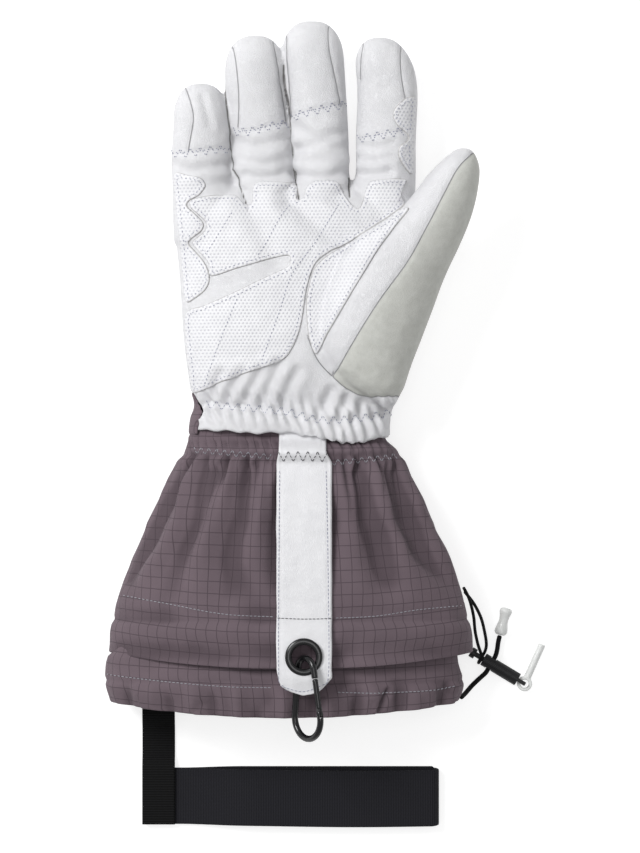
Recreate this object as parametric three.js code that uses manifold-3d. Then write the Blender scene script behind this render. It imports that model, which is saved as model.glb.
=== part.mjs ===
// A ski glove for the right hand, lying on its back with the palm up.
// Millimetres. +X is to the right, +Y runs from the cuff to the fingertips and +Z points up out of the palm.
// The origin is on the surface that the glove lies on, under the middle of its outline.
import * as THREE from "three";
import { mergeVertices } from "three/addons/utils/BufferGeometryUtils.js";
import Module from "manifold-3d";

const wasm = await Module();
wasm.setup();

// Walls and clearances
const leatherWall = 2.6;
const fabricWall = 1.6;
const hemWall = 1.5;
const strapThickness = 1.6;
const patchThickness = 1.0;
const fitGap = 0.35;

// The hand: palm and back, from the leather's lower edge at the wrist to the finger bases
const wristY = -5;
const palmX = 1.5;
const palmWidth = 122;
const palmLength = 118;
const palmHeight = 48;
const knuckleRound = 18;
const backSeamHeight = 13;
const cuffCornerHeight = 38.4;
const gatherDepth = 1.0;
const gatherCount = 7;
const knuckleShare = 1.08;

// Columns: at is a share of the palm's length, left and right of half its width, low and high of its height.
// The form runs past the palm's length, to the knuckle share, where the fingers grow out of it.
const palmRows = [
  { at: 0.0, left: -0.87, right: 0.79, low: -0.14, high: 0.91, gather: 0.5 },
  { at: 0.07, left: -0.86, right: 0.79, low: -0.14, high: 0.9, gather: 1.0 },
  { at: 0.13, left: -0.82, right: 0.82, low: -0.14, high: 0.86, gather: -1.0 },
  { at: 0.19, left: -0.85, right: 0.87, low: -0.14, high: 0.92, gather: 1.0 },
  { at: 0.26, left: -0.87, right: 0.89, low: -0.14, high: 0.97, gather: 0.3 },
  { at: 0.38, left: -0.9, right: 0.91, low: -0.14, high: 1.0, gather: 0 },
  { at: 0.52, left: -0.92, right: 0.93, low: -0.14, high: 0.98, gather: 0 },
  { at: 0.68, left: -0.94, right: 0.96, low: -0.14, high: 0.94, gather: 0 },
  { at: 0.84, left: -0.97, right: 0.99, low: -0.14, high: 0.9, gather: 0 },
  { at: 0.96, left: -0.985, right: 1.0, low: -0.01, high: 0.85, gather: 0 },
  { at: knuckleShare, left: -0.99, right: 1.0, low: 0.05, high: 0.78, gather: 0 },
];

// Fingers. Rows: at is a share of the length, side and wide of the width, low and high of the thickness.
const fingerBaseY = 93;
const fingerSeamY = 109;
const fingerTipRound = 17;
const fingerThickness = 30;
const pinkyLength = 78;
const ringLength = 102;
const middleLength = 109.3;
const indexLength = 101;
const pinkyWidth = 30;
const ringWidth = 30;
const middleWidth = 31;
const indexWidth = 31;
const pinkyX = -45;
const ringX = -17;
const middleX = 13;
const indexX = 47.5;

const pinkyRows = [
  { at: 0.0, side: 0.1, wide: 1.12, low: 0.18, high: 1.24 },
  { at: 0.24, side: 0.09, wide: 1.13, low: 0.2, high: 1.22 },
  { at: 0.36, side: 0.02, wide: 1.0, low: 0.28, high: 1.2 },
  { at: 0.5, side: 0.0, wide: 1.0, low: 0.33, high: 1.24 },
  { at: 0.72, side: 0.01, wide: 0.94, low: 0.42, high: 1.32 },
  { at: 1.0, side: 0.0, wide: 0.92, low: 0.54, high: 1.36 },
];
const ringRows = [
  { at: 0.0, side: 0.26, wide: 0.82, low: 0.18, high: 1.25 },
  { at: 0.22, side: 0.23, wide: 0.86, low: 0.2, high: 1.24 },
  { at: 0.31, side: 0.14, wide: 0.93, low: 0.26, high: 1.2 },
  { at: 0.46, side: 0.08, wide: 0.97, low: 0.3, high: 1.24 },
  { at: 0.72, side: -0.03, wide: 0.99, low: 0.4, high: 1.3 },
  { at: 1.0, side: -0.03, wide: 0.99, low: 0.52, high: 1.36 },
];
const middleRows = [
  { at: 0.0, side: 0.15, wide: 0.78, low: 0.18, high: 1.25 },
  { at: 0.2, side: 0.14, wide: 0.81, low: 0.2, high: 1.24 },
  { at: 0.3, side: 0.08, wide: 0.88, low: 0.26, high: 1.2 },
  { at: 0.46, side: 0.05, wide: 0.92, low: 0.3, high: 1.24 },
  { at: 0.72, side: -0.03, wide: 0.98, low: 0.4, high: 1.3 },
  { at: 1.0, side: -0.09, wide: 0.98, low: 0.52, high: 1.36 },
];
const indexRows = [
  { at: 0.0, side: 0.0, wide: 1.03, low: 0.18, high: 1.24 },
  { at: 0.22, side: -0.04, wide: 1.04, low: 0.2, high: 1.22 },
  { at: 0.34, side: 0.0, wide: 0.97, low: 0.26, high: 1.2 },
  { at: 0.5, side: 0.0, wide: 0.97, low: 0.3, high: 1.24 },
  { at: 0.76, side: 0.02, wide: 0.97, low: 0.4, high: 1.3 },
  { at: 1.0, side: -0.1, wide: 0.9, low: 0.52, high: 1.36 },
];

// The thumb, a broad leaf that leans over the palm. Its rows have the palm's columns, as shares of its sizes.
const thumbX = 53;
const thumbY = 11;
const thumbWidth = 82;
const thumbLength = 127;
const thumbHeight = 64;
const thumbTipRound = 13;
const thumbRows = [
  { at: 0.0, left: -0.22, right: -0.02, low: 0.44, high: 0.68 },
  { at: 0.06, left: -0.56, right: 0.08, low: 0.34, high: 0.8 },
  { at: 0.14, left: -0.85, right: 0.16, low: 0.28, high: 0.87 },
  { at: 0.25, left: -0.96, right: 0.29, low: 0.25, high: 0.93 },
  { at: 0.37, left: -0.9, right: 0.43, low: 0.25, high: 0.98 },
  { at: 0.5, left: -0.76, right: 0.58, low: 0.28, high: 1.0 },
  { at: 0.64, left: -0.51, right: 0.78, low: 0.33, high: 1.0 },
  { at: 0.76, left: 0.02, right: 0.92, low: 0.38, high: 0.98 },
  { at: 0.88, left: 0.33, right: 0.99, low: 0.43, high: 0.94 },
  { at: 1.0, left: 0.6, right: 1.0, low: 0.48, high: 0.88 },
];

// The gauntlet: an upper tier that flares from the wrist to a fold, and a hem band that comes out under it
const tierLength = 115;
const tierX = 0;
const tierWidth = 183;
const tierHeight = 54;
const tierBow = 7;
const hemTopY = -108;
const hemLength = 37.5;
const hemX = -3;
const hemWidth = 180;
const hemHeight = 50;
const hemBow = 7;
const tierRows = [
  { at: 0.065, left: -0.58, right: 0.58, low: -0.2, high: 0.87, gather: 1.0 },
  { at: 0.12, left: -0.62, right: 0.62, low: -0.2, high: 0.83, gather: -1.0 },
  { at: 0.2, left: -0.67, right: 0.67, low: -0.2, high: 0.9, gather: 1.0 },
  { at: 0.3, left: -0.73, right: 0.73, low: -0.2, high: 0.95, gather: 0.4 },
  { at: 0.4, left: -0.785, right: 0.78, low: -0.2, high: 0.98, gather: 0 },
  { at: 0.57, left: -0.87, right: 0.865, low: -0.2, high: 1.01, gather: 0 },
  { at: 0.76, left: -0.95, right: 0.945, low: -0.2, high: 1.03, gather: 0 },
  { at: 0.9, left: -0.985, right: 0.985, low: -0.2, high: 1.03, gather: 0 },
  { at: 1.0, left: -1.0, right: 1.0, low: -0.2, high: 1.0, gather: 0 },
];
const hemRows = [
  { at: 0.0, left: -0.935, right: 0.945, low: 0.06, high: 0.98 },
  { at: 0.32, left: -0.95, right: 0.95, low: 0.06, high: 0.97 },
  { at: 0.5, left: -1.0, right: 0.97, low: -0.2, high: 1.0 },
  { at: 0.75, left: -1.0, right: 1.0, low: -0.2, high: 1.02 },
  { at: 1.0, left: -0.97, right: 0.97, low: -0.2, high: 0.97 },
];

// The strap over the gauntlet, its eyelet and the small carabiner
const strapX = 6.7;
const strapWidth = 27.5;
const strapTipY = -133;
const strapSewnY = -93;
const strapTipDroop = 1.6;
const eyeletX = 6.5;
const eyeletY = -113.85;
const eyeletHole = 12;
const eyeletRim = 18.5;
const eyeletBarrel = 13.4;
const eyeletFlange = 0.5;
const eyeletZ = 61;
const wireDiameter = 3.2;
const carabinerLength = 43;
const carabinerTopRadius = 6.2;
const carabinerBottomRadius = 9.8;
const carabinerX = 7.2;
const carabinerTopY = -114.5;
const carabinerTilt = 50;
const carabinerPitch = 3;
const gateLength = 17.5;
const gateDiameter = 2.8;
const gatePinDiameter = 1.1;
const gateTongue = 1.5;
const hingeInset = 1.2;
const hingeSlotBack = 2.1;
const tongueGrip = 2.2;

// Drawcord, its lock and its two pull tabs, all lying on the surface beside the hem
const cordDiameter = 2.4;
const tetherDiameter = 1.6;
const barrelDiameter = 6.6;
const barrelLength = 20;
const barrelBore = 4.7;
const barrelBoreDepth = 14;
const barrelX = 97;
const barrelY = -117.6;
const barrelTurn = -31;
const plungerDiameter = 4.0;
const plungerNeck = 2.6;
const plungerHead = 5.2;
const plungerHeadLength = 2.6;
const plungerStroke = 2.2;
const crossHoleInset = 3.2;
const lugDiameter = 2.0;
const lugHeight = 3.4;
const lugRoot = 0.5;
const tabLength = 14;
const tabDiameter = 6.4;
const ringTabOuter = 7.6;
const ringTabHole = 4.2;
const ringTabHeight = 4.0;
const ringTabTube = 3.7;
const ringTabReach = 19;

// The wrist leash: a flat webbing and a closed elastic loop, sewn together at one end
const webbingX = -66.9;
const webbingWidth = 16.5;
const webbingThickness = 1.5;
const webbingEndY = -201;
const elasticWidth = 30;
const elasticEndX = 74.5;
const elasticThickness = 1.3;
const elasticLoop = 8.5;
const elasticY = -186.6;

// Points of the two cords, chosen by hand
const drawcordPoints = [
  [85.3, -136.4, 13.0],
  [87.6, -134.6, 8.4],
  [91.0, -131.0, 4.6],
  [94.6, -127.6, 3.5],
  [98.0, -124.5, 3.3],
  [99.5, -122.0, 3.3],
  [100.8, -119.9, 3.3],
  [102.1, -117.7, 3.3],
  [103.2, -115.4, 3.3],
  [103.9, -112.6, 3.2],
  [104.4, -109.0, 3.2],
  [105.2, -105.6, 3.2],
];
const tetherPoints = [
  [86.2, -80.6, 24.4],
  [89.2, -86.6, 22.8],
  [91.4, -95.0, 19.6],
  [92.4, -103.0, 14.0],
  [94.0, -110.0, 9.4],
  [95.6, -114.6, 7.7],
  [96.2, -116.6, 7.3],
  [94.9, -118.6, 6.4],
  [94.5, -119.4, 4.1],
  [94.8, -118.7, 1.5],
  [96.2, -116.6, 0.85],
  [97.9, -113.4, 1.2],
  [98.4, -109.6, 3.4],
  [97.2, -103.0, 9.0],
  [95.2, -96.0, 15.4],
  [91.6, -89.0, 18.6],
  [86.8, -82.8, 21.8],
];

const finish = {
  leather: new THREE.MeshStandardMaterial({ color: 0xeeeeef, roughness: 0.55 }),
  suede: new THREE.MeshStandardMaterial({ color: 0xe3e5e2, roughness: 0.8 }),
  fabric: new THREE.MeshStandardMaterial({ color: 0x5e5258, roughness: 0.85 }),
  webbing: new THREE.MeshStandardMaterial({ color: 0x17171a, roughness: 0.9 }),
  metal: new THREE.MeshStandardMaterial({ color: 0x2a2a2b, roughness: 0.35, metalness: 0.6 }),
  plastic: new THREE.MeshStandardMaterial({ color: 0x1d1d1f, roughness: 0.5 }),
  tab: new THREE.MeshStandardMaterial({ color: 0xdddedd, roughness: 0.4 }),
};

const glove = new THREE.Group();

function solidOf(geometry) {
  const bare = geometry.clone();
  bare.deleteAttribute("normal");
  bare.deleteAttribute("uv");
  const merged = mergeVertices(bare, 1e-4);
  return new wasm.Manifold(
    new wasm.Mesh({
      numProp: 3,
      vertProperties: new Float32Array(merged.attributes.position.array),
      triVerts: new Uint32Array(merged.index.array),
    }),
  );
}

function geometryOf(solid) {
  const mesh = solid.getMesh();
  const geometry = new THREE.BufferGeometry();
  geometry.setAttribute("position", new THREE.BufferAttribute(new Float32Array(mesh.vertProperties), 3));
  geometry.setIndex(new THREE.BufferAttribute(new Uint32Array(mesh.triVerts), 1));
  geometry.computeVertexNormals();
  return geometry;
}

// Keeps the largest body of a solid, and leaves out slivers that a cut has set free.
function largest(solid) {
  return solid.decompose().sort((a, b) => b.volume() - a.volume())[0];
}

function addPiece(name, solid, material) {
  const mesh = new THREE.Mesh(geometryOf(largest(solid)), material);
  mesh.name = name;
  glove.add(mesh);
}

function united(solids) {
  return solids.reduce((all, next) => all.add(next));
}

// A value of one column at a share of the length, on a smooth curve through the rows.
function column(rows, name, share) {
  let i = 0;
  while (i < rows.length - 2 && share > rows[i + 1].at) i += 1;
  const value = (k) => rows[Math.max(0, Math.min(rows.length - 1, k))][name] ?? 0;
  const reach = rows[i + 1].at - rows[i].at;
  const t = Math.max(0, Math.min(1, (share - rows[i].at) / reach));
  const [a, b, c, d] = [value(i - 1), value(i), value(i + 1), value(i + 2)];
  return b + 0.5 * t * (c - a + t * (2 * a - 5 * b + 4 * c - d + t * (3 * (b - c) + d - a)));
}

// Closed rings of equal count, joined by side faces, with a fan over each end.
function skin(rings) {
  const count = rings[0].length;
  const points = rings.flat();
  const faces = [];
  for (let r = 0; r < rings.length - 1; r += 1) {
    for (let i = 0; i < count; i += 1) {
      const j = (i + 1) % count;
      const [a, b, c, d] = [r * count + i, r * count + j, (r + 1) * count + j, (r + 1) * count + i];
      faces.push(a, b, c, a, c, d);
    }
  }
  for (const [ring, flip] of [[0, true], [rings.length - 1, false]]) {
    const centre = new THREE.Vector3();
    rings[ring].forEach((p) => centre.add(p));
    points.push(centre.divideScalar(count));
    for (let i = 0; i < count; i += 1) {
      const [a, b] = [ring * count + i, ring * count + ((i + 1) % count)];
      faces.push(points.length - 1, flip ? b : a, flip ? a : b);
    }
  }
  const geometry = new THREE.BufferGeometry();
  geometry.setAttribute(
    "position",
    new THREE.BufferAttribute(new Float32Array(points.flatMap((p) => [p.x, p.y, p.z])), 3),
  );
  geometry.setIndex(faces);
  const solid = solidOf(geometry);
  if (solid.volume() > 0) return solid;
  geometry.setIndex(faces.reverse());
  return solidOf(geometry);
}

function rounded(value, power) {
  return Math.sign(value) * Math.abs(value) ** (2 / power);
}

// One cross-section in a plane of constant Y. Its underside is flat where it would go below the floor.
function section(box, y, points, power, floor, gather, bow) {
  const [cx, cz] = [(box.left + box.right) / 2, (box.low + box.high) / 2];
  const [a, b] = [(box.right - box.left) / 2, (box.high - box.low) / 2];
  return Array.from({ length: points }, (_, i) => {
    const turn = (2 * Math.PI * i) / points;
    const ripple = gather * Math.cos(gatherCount * turn);
    const x = cx + (a + ripple) * rounded(Math.cos(turn), power);
    const z = cz + (b + ripple) * rounded(Math.sin(turn), power);
    return new THREE.Vector3(x, y - bow * (1 - ((x - cx) / a) ** 2), Math.max(z, floor));
  });
}

const tipRings = 3;
const tipFullness = 0.8;
const closestRings = 2;

// A loft along Y, with a ring at each row. grow moves its surface out, or in where it is below 0. open adds
// length past its open end.
function loft(form, { grow = 0, open = 0, points = form.points } = {}) {
  const rings = [];
  const sign = form.down ? -1 : 1;
  const round = form.tipRound ?? 0;
  const straight = form.length - round;
  const ringAt = (along, scale, extra) => {
    const share = Math.min(along / form.length, form.rows[form.rows.length - 1].at);
    const at = (name) => column(form.rows, name, share);
    const [cx, ax] = [(at("left") + at("right")) / 2, (at("right") - at("left")) / 2];
    const [cz, az] = [(at("low") + at("high")) / 2, (at("high") - at("low")) / 2];
    const [a, b] = [ax * form.half * scale + grow * scale, az * form.height * scale + grow * scale];
    const [x, z] = [form.x + cx * form.half, cz * form.height];
    const box = { left: x - a, right: x + a, low: z - b, high: z + b };
    const gather = points >= form.points ? at("gather") * gatherDepth : 0;
    const y = form.y + sign * (along + extra);
    const bow = ((form.bow ?? 0) * Math.max(0, along)) / form.length;
    return section(box, y, points, form.power, -grow, gather, bow);
  };
  const first = form.rows[0].at * form.length;
  if (open > 0) rings.push(ringAt(first, 1, -open));
  const isClear = (along) => along < straight - closestRings;
  const stations = form.rows.map((row) => row.at * form.length).filter(isClear);
  [...stations, straight].forEach((along) => rings.push(ringAt(along, 1, 0)));
  if (round > 0) {
    for (let k = 1; k <= tipRings; k += 1) {
      const turn = (k * Math.PI) / (2 * tipRings + 1);
      const scale = Math.cos(turn) ** tipFullness;
      rings.push(ringAt(straight + round * Math.sin(turn), scale, grow * Math.sin(turn)));
    }
  } else if (open > 0) {
    rings.push(ringAt(form.length, 1, open));
  }
  return skin(rings);
}

// A vertical prism over an outline.
function prism(outline, low, high) {
  const shape = new THREE.Shape(outline.map(([x, y]) => new THREE.Vector2(x, y)));
  const geometry = new THREE.ExtrudeGeometry(shape, { depth: high - low, bevelEnabled: false });
  return solidOf(geometry.translate(0, 0, low));
}

// An outline in shares of the palm: across in half widths from its middle, along from wrist to fingers.
function onPalm(points) {
  return points.map(([across, along]) => [palmX + (across * palmWidth) / 2, wristY + along * palmLength]);
}

// A round tube along a curve.
function tube(curve, diameter, sides, steps) {
  const ring = Array.from({ length: sides }, (_, i) => {
    const turn = (2 * Math.PI * i) / sides;
    return new THREE.Vector2((diameter / 2) * Math.cos(turn), (diameter / 2) * Math.sin(turn));
  });
  const shape = new THREE.Shape(ring);
  return solidOf(new THREE.ExtrudeGeometry(shape, { steps, extrudePath: curve, bevelEnabled: false }));
}

function cordCurve(points) {
  return new THREE.CatmullRomCurve3(points.map((p) => new THREE.Vector3(...p)));
}

// A cylinder along X, Y or Z about a centre.
function cylinder(diameter, length, axis, centre, sides = 16) {
  const geometry = new THREE.CylinderGeometry(diameter / 2, diameter / 2, length, sides);
  if (axis === "x") geometry.rotateZ(Math.PI / 2);
  if (axis === "z") geometry.rotateX(Math.PI / 2);
  return solidOf(geometry.translate(...centre));
}

function block(size, centre) {
  return solidOf(new THREE.BoxGeometry(...size).translate(...centre));
}

function placed(solid, matrix) {
  return solidOf(geometryOf(solid).applyMatrix4(matrix));
}

// The forms of the hand
const palmForm = {
  rows: palmRows.map((row) => ({ ...row, at: row.at / knuckleShare })),
  x: palmX,
  y: wristY,
  half: palmWidth / 2,
  length: palmLength * knuckleShare,
  height: palmHeight,
  tipRound: knuckleRound,
  points: 28,
  power: 2.5,
};

function fingerForm(x, width, length, rows) {
  const sides = rows.map((row) => ({
    ...row,
    left: row.side - row.wide / 2,
    right: row.side + row.wide / 2,
  }));
  return {
    rows: sides,
    x,
    y: fingerBaseY,
    half: width,
    length,
    height: fingerThickness,
    tipRound: fingerTipRound,
    points: 12,
    power: 2.2,
  };
}

const fingers = [
  ["finger_pinky", fingerForm(pinkyX, pinkyWidth, pinkyLength, pinkyRows)],
  ["finger_ring", fingerForm(ringX, ringWidth, ringLength, ringRows)],
  ["finger_middle", fingerForm(middleX, middleWidth, middleLength, middleRows)],
  ["finger_index", fingerForm(indexX, indexWidth, indexLength, indexRows)],
];
const thumbForm = {
  rows: thumbRows,
  x: thumbX,
  y: thumbY,
  half: thumbWidth / 2,
  length: thumbLength,
  height: thumbHeight,
  tipRound: thumbTipRound,
  points: 16,
  power: 2.2,
};

const palmOuter = loft(palmForm);
const palmKeepOut = loft(palmForm, { grow: fitGap, open: 0.1 });
const innerSkin = { grow: -leatherWall, open: 6 };
const palmLining = { points: 20 };
const palmHollow = loft(palmForm, { ...innerSkin, ...palmLining });
const fingerHollows = fingers.map(([, form]) => loft(form, { ...innerSkin, points: 10 }));
const thumbHollow = loft(thumbForm, { grow: -leatherWall, points: 12 });

// The hand shell, parted along its side seam into the leather palm and the fabric back
const handShell = palmOuter.subtract(united([palmHollow, thumbHollow, ...fingerHollows]));
const cuffCorner = onPalm([
  [-1.1, 0.27],
  [-0.9, 0.24],
  [-0.815, 0.175],
  [-0.745, 0.11],
  [-0.79, 0.0],
  [-0.79, -0.05],
  [-1.1, -0.05],
]);
const belowSeam = block([2 * palmWidth, 4 * palmLength, backSeamHeight], [0, 0, backSeamHeight / 2]);
const backRegion = belowSeam.add(prism(cuffCorner, 0, cuffCornerHeight));
const seamShifts = [
  [0, 0, 0],
  [0, 0, fitGap],
  [fitGap, 0, 0],
  [fitGap, fitGap, fitGap],
];
const backKeepOut = united(seamShifts.map((shift) => backRegion.translate(shift)));
addPiece("palm_leather", handShell.subtract(backKeepOut), finish.leather);
addPiece("back_of_hand", handShell.intersect(backRegion), finish.fabric);

// The fingers, each cut back from the palm and from the finger before it
let keepOut = palmKeepOut;
const belowFingers = block([2 * palmWidth, palmLength, 4 * palmHeight], [0, fingerSeamY - palmLength / 2, 0]);
fingers.forEach(([name, form], i) => {
  const shell = loft(form).subtract(fingerHollows[i]).subtract(keepOut).subtract(belowFingers);
  addPiece(name, shell, finish.leather);
  keepOut = keepOut.add(loft(form, { grow: fitGap }));
});
const thumbShell = loft(thumbForm).subtract(thumbHollow).subtract(keepOut);
addPiece("thumb", thumbShell, finish.suede);

// Raised patches: a thin skin over the hand, inside an outline seen from above
const wavyEdge = [
  [-0.72, 1.06],
  [-0.86, 0.975],
  [-0.74, 0.9],
  [-0.845, 0.82],
  [-0.69, 0.665],
  [-0.92, 0.56],
];
const palmPatchOutline = onPalm([
  [-0.93, 0.54],
  [-0.9, 0.36],
  [-0.84, 0.185],
  [-0.33, 0.275],
  [-0.1, 0.32],
  [0.01, 0.39],
  [0.075, 0.5],
  [0.11, 0.62],
  [0.18, 0.725],
  [0.3, 0.775],
  [0.42, 0.8],
  [0.68, 0.88],
  [0.84, 0.95],
  [0.86, 1.06],
  [0.9, 1.085],
  [0.62, 1.075],
  [0.58, 1.03],
  [0.53, 0.95],
  [0.48, 0.96],
  [0.45, 1.04],
  [0.35, 1.08],
  [0.19, 1.08],
  [0.1, 1.045],
  [0.06, 0.98],
  [0.03, 1.0],
  [0.01, 1.06],
  [-0.06, 1.075],
  [-0.24, 1.07],
  [-0.32, 1.04],
  [-0.36, 0.955],
  [-0.4, 0.97],
  [-0.45, 1.02],
  [-0.62, 1.025],
  ...wavyEdge.slice(1).map(([across, along]) => [across + 0.015, along]),
]);
const slitOutline = onPalm([
  [-1.1, 0.5],
  [-0.5, 0.607],
  [-0.1, 0.71],
  [-0.085, 0.755],
  [-0.69, 0.66],
  [-0.93, 0.56],
]);
const edgePatchOutline = onPalm([
  [-1.15, 1.13],
  [-0.82, 1.12],
  ...wavyEdge.map(([across, along]) => [across - 0.015, along]),
  [-1.15, 0.56],
]);
const thumbPatchOutline = onPalm([
  [0.2, 0.34],
  [0.13, 0.42],
  [0.1, 0.5],
  [0.12, 0.6],
  [0.16, 0.67],
  [0.26, 0.74],
  [0.39, 0.79],
  [0.44, 0.82],
  [0.68, 0.89],
  [0.9, 0.95],
  [0.69, 0.79],
  [0.41, 0.53],
]);
const indexPatchOutline = onPalm([
  [1.2, 1.44],
  [1.03, 1.44],
  [0.81, 1.355],
  [0.93, 1.26],
  [0.845, 1.21],
  [0.93, 1.115],
  [1.2, 1.1],
]);

const patchLow = backSeamHeight + 3;

function patch(name, outline, forms, neighbours, cut) {
  const shellOf = (grow) => united(forms.map((form) => loft(form, { grow, open: 0.1 })));
  const sheet = shellOf(fitGap + patchThickness).subtract(shellOf(fitGap));
  let piece = sheet.intersect(prism(outline, patchLow, 2 * palmHeight));
  neighbours.forEach((form) => {
    piece = piece.subtract(loft(form, { grow: patchThickness + 2 * fitGap }));
  });
  if (cut) piece = piece.subtract(prism(cut, 0, 2 * palmHeight));
  addPiece(name, piece, finish.leather);
  return piece;
}

const fingerForms = fingers.map(([, form]) => form);
const palmPatchForms = [palmForm, ...fingerForms];
patch("palm_patch", palmPatchOutline, palmPatchForms, [thumbForm], slitOutline);
patch("pinky_edge_patch", edgePatchOutline, [palmForm, fingerForms[0]], []);
patch("index_edge_patch", indexPatchOutline, [fingerForms[3]], []);
patch("thumb_patch", thumbPatchOutline, [thumbForm], [palmForm, ...fingerForms]);

// The gauntlet's upper tier. Its neck fits inside the leather cuff.
const neckInset = leatherWall + 3 * fitGap;
const neck = {
  left: (palmX - tierX + (palmRows[1].left * palmWidth) / 2 + neckInset) / (tierWidth / 2),
  right: (palmX - tierX + (palmRows[0].right * palmWidth) / 2 - neckInset) / (tierWidth / 2),
  low: neckInset / tierHeight,
  high: (palmRows[1].high * palmHeight - gatherDepth - neckInset) / tierHeight,
};
const neckGrip = 8;
const tierForm = {
  rows: [{ at: -neckGrip / tierLength, ...neck }, { at: 0.012, ...neck }, ...tierRows],
  x: tierX,
  y: wristY,
  half: tierWidth / 2,
  length: tierLength - tierBow,
  height: tierHeight,
  down: true,
  bow: tierBow,
  points: 28,
  power: 2.4,
};
const tierCutter = { grow: -fabricWall, open: 6, points: 18 };
const cuffKeepOut = loft(palmForm, { grow: fitGap }).subtract(
  loft(palmForm, { ...innerSkin, ...palmLining, grow: -leatherWall - fitGap }),
);
const tierShell = loft(tierForm).subtract(loft(tierForm, tierCutter)).subtract(cuffKeepOut);
addPiece("gauntlet", tierShell, finish.fabric);

// The hem band, whose upper part is tucked inside the tier
const hemForm = {
  rows: hemRows,
  x: hemX,
  y: hemTopY + hemBow,
  half: hemWidth / 2,
  length: hemLength,
  height: hemHeight,
  down: true,
  bow: hemBow,
  points: 28,
  power: 2.4,
};
const tierKeepOut = loft(tierForm, { grow: fitGap, open: fitGap }).subtract(
  loft(tierForm, { ...tierCutter, grow: -fabricWall - fitGap }),
);
const hemShell = loft(hemForm)
  .subtract(loft(hemForm, { grow: -hemWall, open: 6, points: 18 }))
  .subtract(tierKeepOut);
addPiece("gauntlet_hem", hemShell, finish.fabric);

// The strap: a leather strip laid over the tier from the cuff, free beyond its last seam
function tierTop(x, y) {
  const at = (name, along) => column(tierForm.rows, name, Math.max(0, along) / tierForm.length);
  const along = (wristY - y) / (1 + tierBow / tierForm.length);
  const [left, right] = [at("left", along) * tierForm.half, at("right", along) * tierForm.half];
  const u = Math.abs((x - tierX - (left + right) / 2) / ((right - left) / 2));
  const [low, high] = [at("low", along) * tierHeight, at("high", along) * tierHeight];
  const crown = (1 - u ** tierForm.power) ** (1 / tierForm.power);
  return (low + high) / 2 + ((high - low) / 2) * crown + Math.abs(at("gather", along)) * gatherDepth;
}

function eased(t) {
  const s = Math.max(0, Math.min(1, t));
  return s * s * (3 - 2 * s);
}

function strapBottom(x, y) {
  const sewn = tierTop(x, Math.max(y, strapSewnY)) + 1.5 * fitGap;
  const lift = eased((strapSewnY - y) / (strapSewnY - eyeletY - eyeletRim / 2));
  const droop = strapTipDroop * eased((eyeletY - eyeletRim / 2 - y) / (eyeletY - eyeletRim / 2 - strapTipY));
  return sewn * (1 - lift) + (eyeletZ - strapThickness / 2 - droop) * lift;
}

// A closed sheet of even thickness over a grid in X and Y.
function draped(xs, ys, bottom, thickness) {
  const rings = ys.map((y) => {
    const under = xs.map((x) => new THREE.Vector3(x, y, bottom(x, y)));
    const over = xs.map((x) => new THREE.Vector3(x, y, bottom(x, y) + thickness));
    return [...under, ...over.reverse()];
  });
  return skin(rings);
}

function spaced(from, to, count) {
  return Array.from({ length: count + 1 }, (_, i) => from + ((to - from) * i) / count);
}

const strapStartY = wristY - fitGap;
const strapOutline = [
  [-1, strapStartY - strapTipY],
  [-1, 13],
  [-0.84, 4.6],
  [-0.45, 1.6],
  [-0.05, 0],
  [0.35, 0.9],
  [0.62, 2.9],
  [1, 8.7],
  [1, strapStartY - strapTipY],
].map(([across, back]) => [strapX + (across * strapWidth) / 2, strapTipY + back]);
const strapXs = spaced(strapX - 0.6 * strapWidth, strapX + 0.6 * strapWidth, 5);
const strapYs = spaced(strapStartY, strapTipY - 1, 16);
const strap = draped(strapXs, strapYs, strapBottom, strapThickness)
  .intersect(prism(strapOutline, 0, 2 * eyeletZ))
  .subtract(cylinder(eyeletBarrel + 2 * fitGap, 20, "z", [eyeletX, eyeletY, eyeletZ], 16))
  .subtract(loft(palmForm, { grow: fitGap }))
  .subtract(loft(tierForm, { grow: fitGap }));
addPiece("strap", strap, finish.leather);

// The eyelet: a barrel through the strap with a flange on each side
const flangeInside = strapThickness / 2 + 0.4;
const flangeOutside = flangeInside + eyeletFlange;
const eyeletProfile = [
  [eyeletHole / 2, -0.5 * flangeOutside],
  [eyeletHole / 2 + 0.5, -flangeOutside],
  [eyeletRim / 2 - 0.4, -flangeOutside],
  [eyeletRim / 2, -flangeInside],
  [eyeletBarrel / 2, -flangeInside],
  [eyeletBarrel / 2, flangeInside],
  [eyeletRim / 2, flangeInside],
  [eyeletRim / 2 - 0.4, flangeOutside],
  [eyeletHole / 2 + 0.5, flangeOutside],
  [eyeletHole / 2, 0.5 * flangeOutside],
  [eyeletHole / 2, -0.5 * flangeOutside],
].map(([r, z]) => new THREE.Vector2(r, z));
const eyelet = new THREE.LatheGeometry(eyeletProfile, 16).rotateX(Math.PI / 2);
addPiece("eyelet", solidOf(eyelet.translate(eyeletX, eyeletY, eyeletZ)), finish.metal);

// The carabiner, in its own plane: a pear of round wire, its right arm above the strap and its left arm below
const radians = Math.PI / 180;
const carabinerPlace = new THREE.Matrix4()
  .makeTranslation(carabinerX, carabinerTopY, eyeletZ)
  .multiply(new THREE.Matrix4().makeRotationY(-carabinerTilt * radians))
  .multiply(new THREE.Matrix4().makeRotationX(carabinerPitch * radians));
const topCentre = -carabinerTopRadius;
const bottomCentre = -(carabinerLength - wireDiameter - carabinerBottomRadius);
const slant = Math.asin((carabinerBottomRadius - carabinerTopRadius) / (topCentre - bottomCentre));

function arcPoints(radius, centre, from, to, count) {
  return spaced(from, to, count).map(
    (turn) => new THREE.Vector3(radius * Math.cos(turn), centre + radius * Math.sin(turn), 0),
  );
}

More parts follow.
